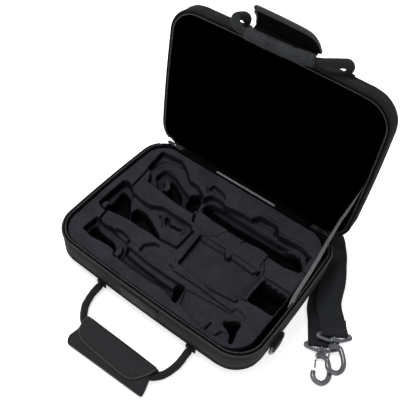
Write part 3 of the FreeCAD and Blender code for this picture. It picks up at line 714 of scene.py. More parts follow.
OPS = [
    ("level", [(-139.3, 57.2), (-143.6, 98.8), (-126.6, 100.4), (-108.5, 102.9), (-89.5, 91.2), (-73.3, 77.8), (-60.2, 78.2), (-48.3, 72.5), (-38.9, 67.5), (-36.5, 59.4), (-30.6, 29.7), (-54.4, 29.4), (-82.9, 31.9), (-100.2, 34.1), (-120.0, 34.4), (-123.6, 43.3), (-130.4, 53.8)], 34, 0.9),
    ("level", [(-124.3, 59.6), (-120.3, 78.1), (-99.8, 77.5), (-92.3, 73.0), (-73.9, 64.5), (-55.9, 58.8), (-41.5, 64.2), (-30.6, 30.9), (-55.0, 30.2), (-83.5, 32.6), (-100.2, 34.1)], 25, 0.9),
    ("level", [(-99.9, 61.9), (-102.3, 73.5), (-89.7, 67.8), (-71.3, 56.8), (-55.0, 30.2), (-66.6, 30.5), (-80.6, 32.6)], 13, 0.9),
    ("level", [(-58.1, 52.4), (-57.7, 64.3), (-48.3, 72.2), (-36.5, 56.9), (-30.6, 30.9), (-43.6, 29.8)], 13, 0.9),
    ("level", [(-107.7, 57.7), (-107.4, 64.7), (-100.7, 63.6), (-88.7, 52.4), (-90.1, 43.4), (-98.5, 41.6), (-99.5, 51.3)], 37, 0.8),
    ("groove", [(-137.7, 64.8), (-137.1, 83.6), (-130.7, 93.3), (-115.7, 97.4), (-100.8, 98.8), (-76.8, 83.3)], 0.7, 3.5),
    ("groove", [(-122.1, 60.7), (-122.3, 75.7), (-114.5, 80.9), (-102.0, 80.4)], 0.8, 4),
    ("groove", [(-136.6, 54.0), (-133.9, 32.0), (-132.5, 12.1)], 0.9, 7),
    ("groove", [(-107.8, 102.0), (-89.5, 91.2), (-74.5, 79.4), (-61.9, 78.0)], 0.5, 1.2),
    ("level", [(-150.0, -40.6), (-149.6, 13.5), (-142.5, 16.8), (-132.5, 12.1), (-116.0, -2.2), (-101.9, -2.8), (-84.5, -3.1), (-72.0, 0.1), (-68.2, 6.9), (-46.1, 7.2), (-18.3, 6.7), (-9.0, 5.2), (-8.8, -35.1), (-36.7, -38.2), (-56.4, -36.4), (-92.7, -37.5), (-113.2, -40.3), (-125.7, -43.5), (-134.2, -47.0)], 31, 0.9),
    ("level", [(-123.0, 5.5), (-106.2, 1.9), (-88.5, 1.6), (-71.4, 11.0), (-21.5, 11.6), (-15.9, 9.1), (-15.1, -26.7), (-43.5, -29.8), (-62.5, -24.8), (-86.9, -9.3), (-103.3, -8.2), (-103.7, -23.3), (-116.1, -11.4)], 36, 1.6),
    ("level", [(-139.0, -30.3), (-143.4, 5.6), (-126.0, 0.8), (-114.8, -12.9), (-101.1, -30.2), (-112.9, -38.4), (-126.6, -42.6)], 12, 0.9),
    ("level", [(-105.0, -21.9), (-102.1, -9.6), (-87.5, -8.6), (-70.7, -15.0), (-43.9, -29.4), (-56.7, -36.0), (-74.1, -37.3), (-91.0, -36.3)], 14, 1.4),
    ("level", [(-148.3, -38.7), (-137.8, -43.5), (-138.2, -30.3), (-145.0, -27.2)], 41, 0.9),
    ("ridge", [(-54.5, -13.1), (-62.1, -0.4), (-57.7, 5.7), (-43.0, 6.0), (-27.8, 5.5), (-22.3, -1.6), (-25.1, -7.3)], 1.3, 39),
    ("level", [(-59.4, 3.3), (-57.2, 7.6), (-48.5, -0.8), (-28.3, 1.8), (-28.3, -2.9), (-45.1, -5.1), (-52.4, -6.4)], 28, 0.8),
    ("groove", [(-69.2, 2.4), (-65.3, -1.6)], 1.1, 5),
    ("groove", [(-67.0, 6.6), (-63.6, 8.2), (-45.0, 8.1), (-30.4, 8.3)], 0.6, 2.5),
    ("groove", [(-129.7, -44.5), (-129.0, -54.7), (-127.2, -63.9)], 1.1, 9),
    ("level", [(-133.9, -90.3), (-133.1, -62.8), (-125.0, -63.2), (-118.0, -64.4), (-97.7, -63.7), (-78.7, -64.0), (-67.7, -63.8), (-66.4, -73.8), (-62.8, -83.9), (-62.5, -96.5), (-69.9, -98.4), (-73.4, -90.5), (-83.8, -89.2), (-95.8, -90.3), (-114.6, -92.5)], 33, 0.9),
    ("level", [(-130.3, -81.5), (-128.8, -69.7), (-118.2, -73.8), (-101.0, -75.7), (-90.9, -75.3), (-77.7, -84.2), (-76.1, -89.5), (-84.0, -89.0), (-96.0, -90.1), (-114.8, -92.2), (-126.5, -91.0)], 15, 0.9),
    ("level", [(-72.9, -95.5), (-76.5, -85.4), (-72.0, -74.0), (-66.8, -83.9), (-65.4, -93.6)], 40, 0.9),
    ("ridge", [(-137.1, -59.7), (-121.2, -72.4)], 0.8, 38),
    ("groove", [(-121.3, -61.8), (-104.0, -63.8), (-84.7, -66.2), (-71.4, -66.4)], 0.6, 2.5),
    ("level", [(-99.8, -61.9), (-91.5, -58.5), (-74.1, -61.1), (-75.0, -66.4)], 37, 0.8),
    ("level", [(-61.4, -97.7), (-64.2, -74.2), (-40.5, -76.3), (-21.6, -77.7), (-4.0, -77.8), (16.4, -77.4), (37.5, -76.2), (42.3, -103.4), (19.9, -96.4), (-4.2, -98.3), (-30.9, -97.8)], 30, 0.9),
    ("level", [(-63.1, -73.6), (-41.0, -76.0), (-21.9, -77.4), (-4.2, -77.4), (16.4, -77.0), (33.5, -77.1), (34.2, -84.5), (11.1, -85.4), (-15.6, -84.8), (-41.9, -83.2), (-60.2, -81.1)], 38, 2.0),
    ("level", [(23.5, -77.3), (37.3, -75.8), (42.3, -102.4), (33.7, -98.9), (27.2, -86.3)], 16, 0.9),
    ("groove", [(-66.2, -91.1), (-54.4, -90.0), (-28.9, -90.2), (5.3, -88.9), (28.5, -92.0)], 1.6, 2.5),
    ("level", [(5.8, -44.6), (1.9, 6.1), (44.9, 7.0), (68.6, 7.0), (98.7, 4.2), (102.7, 10.6), (103.8, -43.8), (104.0, -53.3), (87.6, -55.1), (67.0, -58.2), (55.3, -55.8), (27.3, -52.2), (5.7, -51.1)], 36, 0.9),
    ("level", [(0.8, 7.9), (44.0, 8.8), (67.4, 9.5), (96.8, 8.1), (94.8, 1.2), (72.2, 2.7), (48.0, 3.3), (7.2, 1.8)], 42, 0.7),
    ("groove", [(5.1, 4.2), (46.9, 4.2)], 0.6, 2.0),
    ("level", [(43.1, 7.3), (48.7, 14.1), (55.6, 6.7), (56.2, -1.5), (50.0, -2.3)], 45.2, 0.8),
    ("level", [(51.3, -52.1), (64.2, -53.7), (85.5, -51.2), (101.6, -48.8), (100.2, -42.2), (82.5, -44.8), (62.0, -48.5), (50.1, -46.0)], 40, 0.9),
    ("groove", [(6.7, -52.4), (28.7, -54.1), (56.7, -57.6), (68.3, -60.0), (88.9, -56.9), (104.2, -56.0)], 0.5, 1.8),
    ("groove", [(-19.4, 17.5), (-10.0, 14.7), (1.4, 11.5), (13.3, 12.2), (21.2, 18.2), (23.9, 29.0), (28.0, 38.1)], 0.6, 3.2),
    ("groove", [(29.0, 36.6), (40.6, 32.5), (50.0, 28.9), (54.8, 29.5), (56.7, 36.7), (63.2, 39.8)], 0.7, 3.6),
    ("level", [(97.7, 24.5), (94.9, 35.1), (96.7, 38.8), (121.3, 41.7), (143.8, 47.4), (153.4, 44.8), (151.7, 10.8), (126.4, 10.4), (104.9, 13.5)], 41, 0.8),
    ("groove", [(96.4, 27.7), (96.4, 20.1), (98.8, 11.5)], 0.7, 3.5),
    ("level", [(20.8, 16.7), (28.9, 34.8), (43.7, 31.1), (55.2, 27.0), (69.7, 25.7), (70.3, 17.4), (48.4, 17.0)], 44.6, 1.2),
    ("groove", [(-27.4, 29.9), (-21.4, 18.2)], 1.3, 9),
    ("level", [(-29.5, 35.5), (-16.5, 40.2), (2.9, 38.4), (29.6, 38.3), (48.2, 36.5), (64.1, 38.3), (82.5, 41.3), (101.3, 38.1), (120.9, 38.1), (143.3, 43.8), (144.4, 50.0), (143.7, 73.0), (127.0, 79.1), (105.4, 79.2), (88.5, 76.6), (78.6, 89.4), (50.5, 90.0), (44.7, 82.8), (42.3, 75.9), (21.3, 75.4), (-3.4, 72.0), (-10.2, 76.4), (-28.5, 76.2), (-35.4, 65.4), (-37.6, 55.9)], 34, 0.9),
    ("level", [(-30.3, 54.8), (-26.8, 67.8), (-6.1, 70.0), (26.6, 70.2), (58.9, 69.6), (96.8, 69.7), (130.9, 68.7), (142.4, 55.6), (142.8, 44.5), (120.5, 38.8), (100.8, 38.8), (82.5, 41.3), (64.1, 38.3), (48.2, 36.5), (29.6, 38.3), (2.9, 38.4), (-16.5, 40.2)], 24, 2.6),
    ("level", [(-29.4, 61.9), (-22.1, 67.5), (-8.0, 63.8), (24.2, 62.4), (50.2, 63.7), (84.4, 65.2), (109.3, 66.4), (128.4, 71.0), (142.4, 55.6), (142.8, 44.5), (120.5, 38.8), (100.8, 38.8), (82.5, 41.3), (64.1, 38.3), (48.2, 36.5), (29.6, 38.3), (2.9, 38.4), (-14.9, 40.4)], 12, 1.6),
    ("ridge", [(-36.3, 70.3), (5.2, 74.6), (55.2, 74.9), (93.8, 74.2), (129.4, 70.9)], 0.9, 36.5),
    ("groove", [(-33.2, 66.3), (8.1, 70.7), (57.9, 71.1), (96.3, 70.4), (129.8, 67.8)], 0.7, 3),
    ("groove", [(42.1, 84.2), (79.2, 84.0)], 0.75, 3.6),
    ("groove", [(43.9, 89.5), (79.0, 89.7)], 0.75, 3.6),
    ("groove", [(48.1, 95.3), (78.2, 95.0)], 0.75, 3.6),
    ("groove", [(88.1, 80.8), (124.2, 85.5)], 0.75, 3.8),
    ("groove", [(91.4, 75.5), (125.8, 80.0)], 0.75, 3.8),
    ("groove", [(93.6, 69.3), (128.3, 73.1)], 0.75, 3.8),
    ("level", [(-41.7, 82.1), (-37.7, 94.7), (-28.9, 92.9), (-14.3, 88.3), (-8.1, 79.5), (-30.0, 79.0)], 38, 0.7),
    ("groove", [(-30.9, 81.8), (-11.2, 80.3)], 1.0, 6),
    ("groove", [(-33.9, 92.3), (-16.9, 89.6)], 0.6, 2.5),
    ("groove", [(-44.4, 84.7), (-36.7, 75.6)], 1.0, 4),
    ("groove", [(140.2, 73.4), (143.6, 71.8)], 1.8, 9),
    ("groove", [(77.8, 87.5), (81.6, 80.1)], 1.0, 5),
    ("level", [(102.6, 11.8), (150.0, 15.7), (151.4, 5.8), (110.0, 5.4)], 41.5, 0.6),
    ("level", [(109.1, 7.9), (150.6, 8.3), (151.7, 0.2), (114.1, 2.7)], 37, 0.6),
    ("groove", [(107.2, 4.9), (106.2, -19.2), (107.4, -40.9)], 0.6, 3.5),
    ("level", [(114.0, 0.5), (151.9, -2.7), (151.2, -38.6), (112.5, -39.5)], 12, 0.9),
    ("groove", [(105.2, -43.6), (113.5, -41.7)], 0.9, 5),
    ("level", [(40.2, -77.2), (109.4, -69.1), (118.4, -72.9), (103.5, -83.1), (117.0, -88.7), (127.4, -103.3), (110.6, -108.0), (87.5, -108.8), (48.1, -99.9)], 42, 1.5),
    ("level", [(103.0, -84.9), (112.5, -82.7), (119.3, -74.5), (126.4, -74.3), (127.4, -86.9), (129.8, -94.7), (132.9, -104.5), (129.2, -105.7), (125.2, -95.4), (117.0, -89.1)], 14, 0.8),
    ("level", [(108.1, -58.4), (126.1, -61.7), (125.9, -68.3), (114.5, -75.6), (107.7, -68.1)], 42, 0.7),
    ("groove", [(93.5, -106.7), (94.4, -95.1)], 0.9, 6),
    ("groove", [(108.6, -106.9), (110.4, -101.9), (111.8, -97.3)], 0.9, 5),
    ("groove", [(111.8, -97.3), (117.5, -94.5), (124.1, -97.2), (129.7, -104.0)], 0.6, 3),
    ("groove", [(10.6, -65.9), (28.9, -65.2), (53.8, -64.9), (79.6, -66.4), (107.1, -66.8)], 0.8, 6),
    ("groove", [(-64.4, -65.5), (-42.3, -63.8), (-20.5, -62.0), (-2.7, -62.2)], 0.6, 2.5),
    ("groove", [(-0.1, -61.1), (5.5, -62.8)], 1.2, 5),
    ("level", [(-49.3, -68.4), (-48.9, -56.1), (-39.3, -45.9), (-30.1, -46.0), (-31.1, -55.7), (-33.8, -63.3), (-44.4, -69.9)], 39, 1.0),
    ("level", [(-37.2, -74.0), (-29.8, -63.6), (-7.7, -62.5), (4.7, -64.9), (-1.6, -70.0), (-21.4, -73.7)], 44.2, 0.9),
    ("groove", [(27.0, -60.6), (50.1, -60.0), (68.8, -60.6)], 0.5, 2.2),
    ("groove", [(0.0, -48.3), (5.2, -53.6)], 0.7, 2.5),
]

H = np.full(GX.shape, TOP)
H += 0.3 * np.sin(GX * 0.071 + 1) * np.sin(GY * 0.083 + 2) + 0.15 * np.sin(GX * 0.19 + GY * 0.13)
for kind, pts, a, b in OPS:
    if kind == "level":
        s = step(blur(mask(pts), max(b, 1.15 if a > 25 else 1.9)), 0.28, 0.72)
        H = H * (1 - s) + a * s
        continue
    m = np.zeros(GX.shape)
    for p_, q_ in zip(pts, pts[1:]):
        m = np.maximum(m, along(p_, q_, a))
    if kind == "groove":
        H = H - m * np.clip(H - 11, 0, b)
    else:
        H = np.where(b > H, H + (b - H) * m, H)
H = blur(H, 0.5)

po, no = outline(WALL + 1.0)
po = po.copy()
po[:, 0] -= 6.5 * np.clip(po[:, 0] / 100, 0, 1)
ins_m = blur(mask([tuple(q) for q in po[::3]]), 1.4)
H = H - (1 - step(ins_m, 0.42, 0.9)) * np.clip(H - 41.5, 0, 9)
K = 1
hx_, hy_ = gx[::K], gy[::K]
HH = H[::K, ::K]
m_in = mask([tuple(q) for q in po])[::K, ::K] > 0.5
nx_, ny_ = len(hx_), len(hy_)
vx = np.stack([np.repeat(hx_, ny_), np.tile(hy_, nx_), HH.ravel()], 1)
cell = m_in[:-1, :-1] | m_in[1:, :-1] | m_in[:-1, 1:] | m_in[1:, 1:]
outside = ~m_in.ravel()
near = np.zeros(nx_ * ny_, bool)
ci, cj = np.where(cell)
quads = np.stack([ci * ny_ + cj, (ci + 1) * ny_ + cj, (ci + 1) * ny_ + cj + 1, ci * ny_ + cj + 1], 1)
near[quads.ravel()] = True
fix = np.where(near & outside)[0]
dense = resample(np.column_stack([np.vstack([po, po[:1]]), np.zeros(len(po) + 1)]), 0.4)[:, :2]
for i in fix:
    d2 = ((dense - vx[i, :2]) ** 2).sum(1)
    vx[i, :2] = dense[int(np.argmin(d2))]
remap_i = -np.ones(nx_ * ny_, int)
used = np.where(near)[0]
remap_i[used] = np.arange(len(used))
me = bpy.data.meshes.new("insert_plush")
me.from_pydata((vx[used] * MM).tolist(), [], remap_i[quads].tolist())
bm = bmesh.new()
bm.from_mesh(me)
bmesh.ops.remove_doubles(bm, verts=bm.verts, dist=0.00005)
bmesh.ops.dissolve_degenerate(bm, edges=bm.edges, dist=0.00002)
rim = [e for e in bm.edges if e.is_boundary]
for z in (36, 22, 10.2):
    ext = bmesh.ops.extrude_edge_only(bm, edges=rim)
    vs = [x for x in ext["geom"] if isinstance(x, bmesh.types.BMVert)]
    for x in vs:
        x.co.z = z * MM
    rim = [x for x in ext["geom"] if isinstance(x, bmesh.types.BMEdge)]
bmesh.ops.holes_fill(bm, edges=rim, sides=0)
bmesh.ops.recalc_face_normals(bm, faces=bm.faces)
bm.to_mesh(me)
bm.free()
me.polygons.foreach_set("use_smooth", [True] * len(me.polygons))
me.materials.append(M_PLUSH_PAINTED_SHADE)
insert = bpy.data.objects.new("insert_plush", me)
bpy.context.scene.collection.objects.link(insert)
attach(insert, "base")
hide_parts("insert_block")

# --------------------------------------------------------------------- lid
arc14 = [(14 - 14 * math.cos(a), Z1 - 14 + 14 * math.sin(a)) for a in np.linspace(0, math.pi / 2, 9)]
prof = [(12, Z0 + 24.5, 0), (6.2, Z0 + 24.4, 0), (6.0, Z0 + 2.4, 0), (5.9, Z0 + 1.7, 0), (5.2, Z0 + 1.1, 0), (3.4, Z0 + 0.95, 0), (1.7, Z0 + 0.8, 0), (0.9, Z0 + 1.0, 0), (0.5, Z0 + 1.8, 0), (0.5, Z0 + 3.6, 0), (0.6, Z0 + 4.9, 0), (0.2, Z0 + 6.2, 0.1), (-0.4, Z0 + 9.5, 0.35), (-0.6, Z0 + 13, 0.5), (-0.3, Z0 + 16.5, 0.35)]
prof += [(i, z, 0.15) for i, z in arc14] + [(24, Z1 + 0.1, 0), (60, Z1 + 0.1, 0)]
lid_cover = shell("lid_cover", prof, M_LIDNYLON_SHADED, lid=True, first_cap=True)
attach(lid_cover, "lid")
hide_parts("lid_panel", "lid_wall")
ll = shell("lid_plush_lining", [(5.35, Z0 + 1.45, 0), (5.5, Z0 + 1.0, 0), (6.1, Z0 + 1.5, 0), (6.3, Z0 + 3.0, 0.1), (6.4, Z0 + 17.0, 0.3), (7.6, Z0 + 20.2, 0.2), (11, Z0 + 21.4, 0), (30, Z0 + 20.9, 0), (60, Z0 + 20.7, 0), (61, Z0 + 24, 0), (11, Z0 + 24.2, 0), (6.6, Z0 + 23.6, 0), (5.6, Z0 + 20, 0), (5.4, Z0 + 4, 0)], M_LIDPLUSH, lid=True, first_cap=False, last_cap=False)
bm = bmesh.new()
bm.from_mesh(ll.data)
bm.verts.ensure_lookup_table()
nv = NPL
bm.faces.new([bm.verts[8 * nv + j] for j in range(nv)])
bm.faces.new([bm.verts[9 * nv + j] for j in range(nv)][::-1])
for i in range(nv):
    pass
bmesh.ops.delete(bm, geom=[f for f in bm.faces if len(f.verts) == 4 and {v.index // nv for v in f.verts} == {8, 9}], context="FACES_ONLY")
bm.to_mesh(ll.data)
bm.free()
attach(ll, "lid")
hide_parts("lid_lining")

# stitched seams on the lid's side wall
bag = Bag()
for z, ins in ((Z0 + 7.6, -0.15), (Z0 + 17.8, -0.15)):
    p, n = path_on(ins, z)
    pr = np.vstack([p, p[:1]])
    s = np.concatenate([[0], np.cumsum(np.linalg.norm(np.diff(pr, axis=0), axis=1))])
    for c in np.arange(0, s[-1], 3.2):
        a = np.array([np.interp(c, s, pr[:, k]) for k in range(3)])
        b = np.array([np.interp(c + 2.2, s, pr[:, k]) for k in range(3)])
        nn = np.array([b[1] - a[1], a[0] - b[0], 0])
        if np.linalg.norm(nn) > 1e-6:
            stitch(bag, [a, (a + b) / 2, b], nn, pitch=9, long=float(np.linalg.norm(b - a)) * 0.95, r=0.28, lift=0.2)
o = bag.make("lid_wall_stitches", M_THREAD, lid=True)
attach(o, "lid")

bag = Bag()
for z, ins in ((Z0 + 9.8, -0.25), (Z0 + 11.9, -0.4), (Z0 + 14.0, -0.45), (Z0 + 16.0, -0.2)):
    p, n = path_on(ins, z)
    tube(bag, smooth_line(p[::3], 1.6, closed=True), 0.62, 6, closed=True)
o = bag.make("lid_wall_welts", M_WELT, lid=True)
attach(o, "lid")
bag = Bag()
for z, ins in ((15.6, -0.1), (41.0, -0.2)):
    p, n = path_on(ins, z)
    tube(bag, smooth_line(p[::3], 1.6, closed=True), 0.5, 6, closed=True)
o = bag.make("base_wall_welts", M_WELT)
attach(o, "base")

# outer pocket: padded, zipped, sewn down along its edge
prof = [(15.0, Z1 - 0.4, 0), (14.2, Z1 + 0.6, 0.1), (14.2, Z1 + 1.6, 0.2), (15.2, Z1 + 3.2, 0.4), (17.5, Z1 + 6.2, 0.5), (22, Z1 + 8.6, 0.5), (30, Z1 + 9.0, 0.3), (48, Z1 + 9.0, 0), (75, Z1 + 9.0, 0)]
pocket = shell("lid_pocket", prof, M_LIDNYLON_SHADED, lid=True)
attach(pocket, "lid")
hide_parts("pocket_pouch")
bag = Bag()
PZ = -84.0
for sy in (-1, 1):
    xs = np.arange(-118, 118.1, 2.0)
    band_mesh(bag, np.column_stack([xs, np.full(len(xs), PZ + sy * 5.4), np.full(len(xs), Z1 + 9.25)]), np.tile([0, 1, 0], (len(xs), 1)), 3.7, 0.6, across=5)
o = bag.make("pocket_zip_band", M_TAPE, lid=True)
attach(o, "lid")
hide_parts("pocket_zip_tape")
bag = Bag()
xs = np.arange(-112, 112.1, 0.9)
line = np.column_stack([xs, np.full(len(xs), PZ), np.full(len(xs), Z1 + 9.85)])
tooth_row(bag, line, np.tile([0, 1, 0], (len(xs), 1)), (0, 0, 1), size=(1.2, 3.4, 1.0))
o = bag.make("pocket_zip_coil", M_COIL, lid=True)
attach(o, "lid")
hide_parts("pocket_zip_teeth")
bag = Bag()
for dy in (-8.2, 8.2):
    stitch(bag, [(-116, PZ + dy, Z1 + 9.4), (116, PZ + dy, Z1 + 9.4)], (0, 0, 1), r=0.3, lift=0.2)
pr, n = path_on(17.0, Z1 + 5.6)
for c in range(0, len(pr) - 1):
    a, b = pr[c], pr[c + 1]
    nn = np.array([b[1] - a[1], a[0] - b[0], 3.0])
    if np.linalg.norm(b - a) > 1.6:
        stitch(bag, [a, (a + b) / 2, b], nn, pitch=9, long=min(2.2, float(np.linalg.norm(b - a)) * 0.7), r=0.28, lift=0.35)
o = bag.make("pocket_stitches", M_THREAD, lid=True)
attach(o, "lid")

# ----------------------------------------------- fabric and ribbon hinges
ys = [(112.6, 49.6), (116, 49.75), (119.6, 49.9), (121.2, 49.4), (122.3, 48.2), (123.0, 46.6), (124.0, 45.6), (126, 45.0), (129, 44.8)]
line = smooth_line([(0, y, z) for y, z in ys], 0.8)
xs = np.linspace(-116, 116, 59)
v = []
for sgn in (0.0, -0.8):
    for y, z in line[:, 1:]:
        for x in xs:
            v.append((x, y, z + sgn + 0.12 * math.sin(x * 0.21)))
m, n = len(line), len(xs)
f = grid_faces(m, n, False) + [tuple(q[::-1]) for q in grid_faces(m, n, False, off=m * n)]
for i in range(m - 1):
    for j in (0, n - 1):
        a, b = i * n + j, (i + 1) * n + j
        f.append((a, b, m * n + b, m * n + a))
for j in range(n - 1):
    for i in (0, m - 1):
        a, b = i * n + j, i * n + j + 1
        f.append((a, b, m * n + b, m * n + a))
hf = make("hinge_gusset", v, f, M_TAPE)
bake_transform(hf)
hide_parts("hinge_fabric")
bag = Bag()
xs = np.arange(-50, 56.1, 1.0)
pp = np.column_stack([xs, np.full(len(xs), 114.9), 50.35 + 0.1 * np.sin(xs * 0.3)])
band_mesh(bag, pp, np.tile([0, 1, 0.04], (len(xs), 1)), 1.7, 0.45, across=5)
o = bag.make("hinge_ribbon_band", M_RIBBON)
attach(o, "base")
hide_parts("hinge_ribbon")

RB = [
    (162.0, -14, 36, 0.5, -0.6, 0.5), (161.6, -11, 44, 0.6, -0.3, 0.75), (159.6, 0, 48.3, 0.6, 0, 0.8), (157.9, 22, 49.4, 0.6, 0, 0.8), (156.0, 50, 50.2, 0.6, 0, 0.8), (153.4, 80, 53.8, 0.6, -0.15, 0.8),
    (152.2, 96, 62, 0.58, -0.4, 0.7), (152.7, 107.2, 75, 0.54, -0.62, 0.6), (153.4, 118.5, 91, 0.51, -0.70, 0.56), (156.5, 129.9, 112, 0.4, -0.75, 0.5), (161.3, 146.8, 154, 0, -0.89, 0.445),
]
bag = Bag()
q = smooth_line(RB, 1.6)
band_mesh(bag, q[:, :3], q[:, 3:], 4.7, 0.5, across=5, crown=0.2)
o = bag.make("stay_ribbon_band", M_STAY)
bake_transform(o)
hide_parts("stay_ribbon")

# ------------------------------------------------------------- label patch
def wall_y(x, z):
    k = 1 - (x / 165.0) ** 2
    return -121 - BOW * k - 0.8 * math.exp(-(((z - 30) / 11) ** 2))


nx2, nz2 = 40, 16
v, f = [], []
for layer, h in ((0, 1.35), (1, 0.1)):
    for i in range(nz2 + 1):
        for j in range(nx2 + 1):
            u, w = j / nx2 * 2 - 1, i / nz2 * 2 - 1
            k = (abs(u) ** 10 + abs(w) ** 8) ** 0.1
            uu, ww = u / max(1, k), w / max(1, k)
            x, z = -1.5 + uu * 32.5, 29 + ww * 12
            e = max(abs(u), abs(w))
            drop = 1.0 * max(0, (e - 0.9) / 0.1) ** 2
            v.append((x, wall_y(x, z) - (h - (drop if layer == 0 else 0)) + 0.0, z))
m, n = nz2 + 1, nx2 + 1
f = grid_faces(m, n, False) + [tuple(q_[::-1]) for q_ in grid_faces(m, n, False, off=m * n)]
for i in range(m - 1):
    for j in (0, n - 1):
        a, b = i * n + j, (i + 1) * n + j
        f.append((a, b, m * n + b, m * n + a))
for j in range(n - 1):
    for i in (0, m - 1):
        a, b = i * n + j, i * n + j + 1
        f.append((a, b, m * n + b, m * n + a))
o = make("label_leather_patch", v, f, M_LABEL)
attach(o, "base")
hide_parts("label_patch")
bag = Bag()
box = [(-32, 19), (-1.5, 19), (29, 19), (29, 29), (29, 39), (-1.5, 39), (-32, 39), (-32, 29), (-32, 19)]
for (x0, z0), (x1, z1) in zip(box, box[1:]):
    stitch(bag, [(x, wall_y(x, z) - 1.3, z) for x, z in ((x0, z0), ((x0 + x1) / 2, (z0 + z1) / 2), (x1, z1))], (0, -1, 0), pitch=2.8, long=1.9, r=0.25, lift=0.1)
o = bag.make("label_stitches", M_THREAD)
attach(o, "base")

# ----------------------------------------------------------- carry handles
BH = [
    (-69, -131.3, 6.4), (-69, -135, 6.4), (-67.5, -149, 6.2), (-60.5, -168, 6.2), (-42, -184.5, 7.2),
    (-5, -188, 7.8), (34, -190, 7.8), (64, -189.5, 7.2), (80.5, -176, 6.2), (87, -155, 6.2), (86.8, -135, 6.4), (86.8, -131.3, 6.4),
]
bag = Bag()
q = smooth_line([(-69, -126.4, 6.6)] + BH + [(86.8, -126.4, 6.6)], 1.5)
rad = 5.2 + 0.12 * np.sin(np.arange(len(q)) * 0.31) + 0.1 * np.sin(np.arange(len(q)) * 0.83)
rad[:3] = [3.6, 4.4, 5.0]
rad[-3:] = [5.0, 4.4, 3.6]
tube(bag, q, rad, 18, flat=0.92)
o = bag.make("base_handle_roll", M_CORD)
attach(o, "base_handle")
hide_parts("base_handle_cord")
bag = Bag()
t_, s_, n_ = frames(q)
edge = q + s_ * 3.6 * np.sign(0.5) + n_ * 3.5
for k in range(6, len(edge) - 9, 2):
    stitch(bag, [edge[k], (edge[k] + edge[k + 1]) / 2, edge[k + 1]], n_[k] + s_[k] * 0.8, pitch=9, long=1.3, r=0.28, lift=0.3)
o = bag.make("base_handle_seam", M_THREAD)
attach(o, "base_handle")


def pad_plate(name, c, sx, sy, sz, body, mat, axes=None, slot="webbing", rep=None, lid=False):
    """A patch: points and faces of a pillow-edged plate."""
    bm = bmesh.new()
    bmesh.ops.create_cube(bm, size=2)
    bmesh.ops.subdivide_edges(bm, edges=bm.edges, cuts=7, use_grid_fill=True)
    for x in bm.verts:
        p = x.co
        e = (abs(p.x) ** 6 + abs(p.y) ** 6 + abs(p.z) ** 6) ** (1 / 6)
        p /= e
        x.co = Vector((c[0] + p.x * sx, c[1] + p.y * sy, c[2] + p.z * sz))
    v = [tuple(x.co) for x in bm.verts]
    f = [tuple(x.index for x in q_.verts) for q_ in bm.faces]
    bm.free()
    return v, f


roots = Bag()
for x in (-69, 86.8):
    v, f = pad_plate("", (x, -125.1, 7.6), 8, 1.0, 5.4, "base", M_TAB)
    uv = [((a[2]) * MM, a[0] * MM) for a in v]
    roots.add(v, f, uv)
o = roots.make("base_handle_anchors", M_TAB)
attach(o, "base")
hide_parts("base_handle_roots")


def wrap_section(x):
    """Cross-section of the folded grip wrap, y and z."""
    ya, yb = -176.2, -217.5 + (x + 45) * 0.04
    pts = []
    for t in np.linspace(0, 1, 17):
        y = ya + (yb - ya) * t
        z = 14.6 - 6.2 * t**1.6 + 0.9 * math.sin(math.pi * t)
        pts.append((y, z))
    pts += [(yb - 0.9, 6.2), (yb - 1.1, 4.0), (yb - 0.3, 2.0), (yb + 2.0, 0.9)]
    for t in np.linspace(0.1, 1, 11):
        pts.append((yb + (ya - yb) * t, 0.7))
    pts += [(ya + 1.4, 2.0), (ya + 2.2, 5.0), (ya + 2.2, 9.5), (ya + 1.5, 12.8)]
    return pts


def end_shape(x, y):
    """Lengthwise shift of the wrap's two ends along its depth."""
    wl = max(0.0, min(1.0, (-20 - x) / 26)) ** 2
    wr = max(0.0, min(1.0, (x - 50) / 26)) ** 2
    t = (y + 176) / -41.0
    left = np.interp(t, [0, 0.15, 0.35, 0.55, 0.66, 0.8, 0.93, 1.05], [6.0, 2.2, 0.8, 2.2, 0.6, -1.2, 0.4, 4.5])
    right = np.interp(t, [0, 0.12, 0.26, 0.42, 0.6, 0.8, 0.92, 1.05], [-2.0, -4.5, -7.5, -4.0, -1.0, 1.2, 1.6, -3.0])
    return x + wl * left + wr * right


xs = [-46.2, -45.8, -44.8, -43.0, -39.0, -35.5] + list(np.arange(-32, 61, 4)) + [63, 67, 71, 74, 75.6, 76.4, 76.8]
ring_pts = []
for x in xs:
    sec = np.array(wrap_section(x))
    c = sec.mean(0)
    k = 1.0
    if x < -42:
        k = 0.62 + 0.38 * math.sqrt(max(0, 1 - ((-42 - x) / 4.3) ** 2))
    if x > 71:
        k = 0.55 + 0.45 * math.sqrt(max(0, 1 - ((x - 71) / 5.9) ** 2))
    sec2 = c + (sec - c) * np.array([0.88 + 0.12 * k, k])
    sec2[:, 1] += (0.5 * math.sin(x * 0.05) + 0.25 * math.sin(x * 0.17)) * (sec2[:, 1] > 5)
    ring_pts.append([(end_shape(x, y), y, z) for y, z in sec2])
m, n = len(xs), len(ring_pts[0])
f = grid_faces(m, n) + [tuple(range(n))[::-1], tuple((m - 1) * n + j for j in range(n))]
wrap = make("base_grip_pad", np.array(ring_pts).reshape(-1, 3), f, M_LEATHER)
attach(wrap, "base_handle")
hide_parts("base_grip_wrap")

# top flap of the wrap, a single leather piece with a bound, twice sewn edge
flap_out = smooth_line([(-43.5, -177.2, 0), (-44.5, -186, 0), (-40, -197, 0), (-33, -203.5, 0), (-20, -206.3, 0), (10, -207.6, 0), (40, -208.6, 0), (52, -206.8, 0), (60, -201.5, 0), (68, -190, 0), (72.5, -178, 0)], 2.0)
nr, nc = 16, len(flap_out)


def flap_z(y):
    t = (y + 176.2) / (-39.4)
    return 16.3 - 6.2 * max(0, t) ** 1.6 + 0.9 * math.sin(math.pi * min(1, max(0, t))) + 0.5


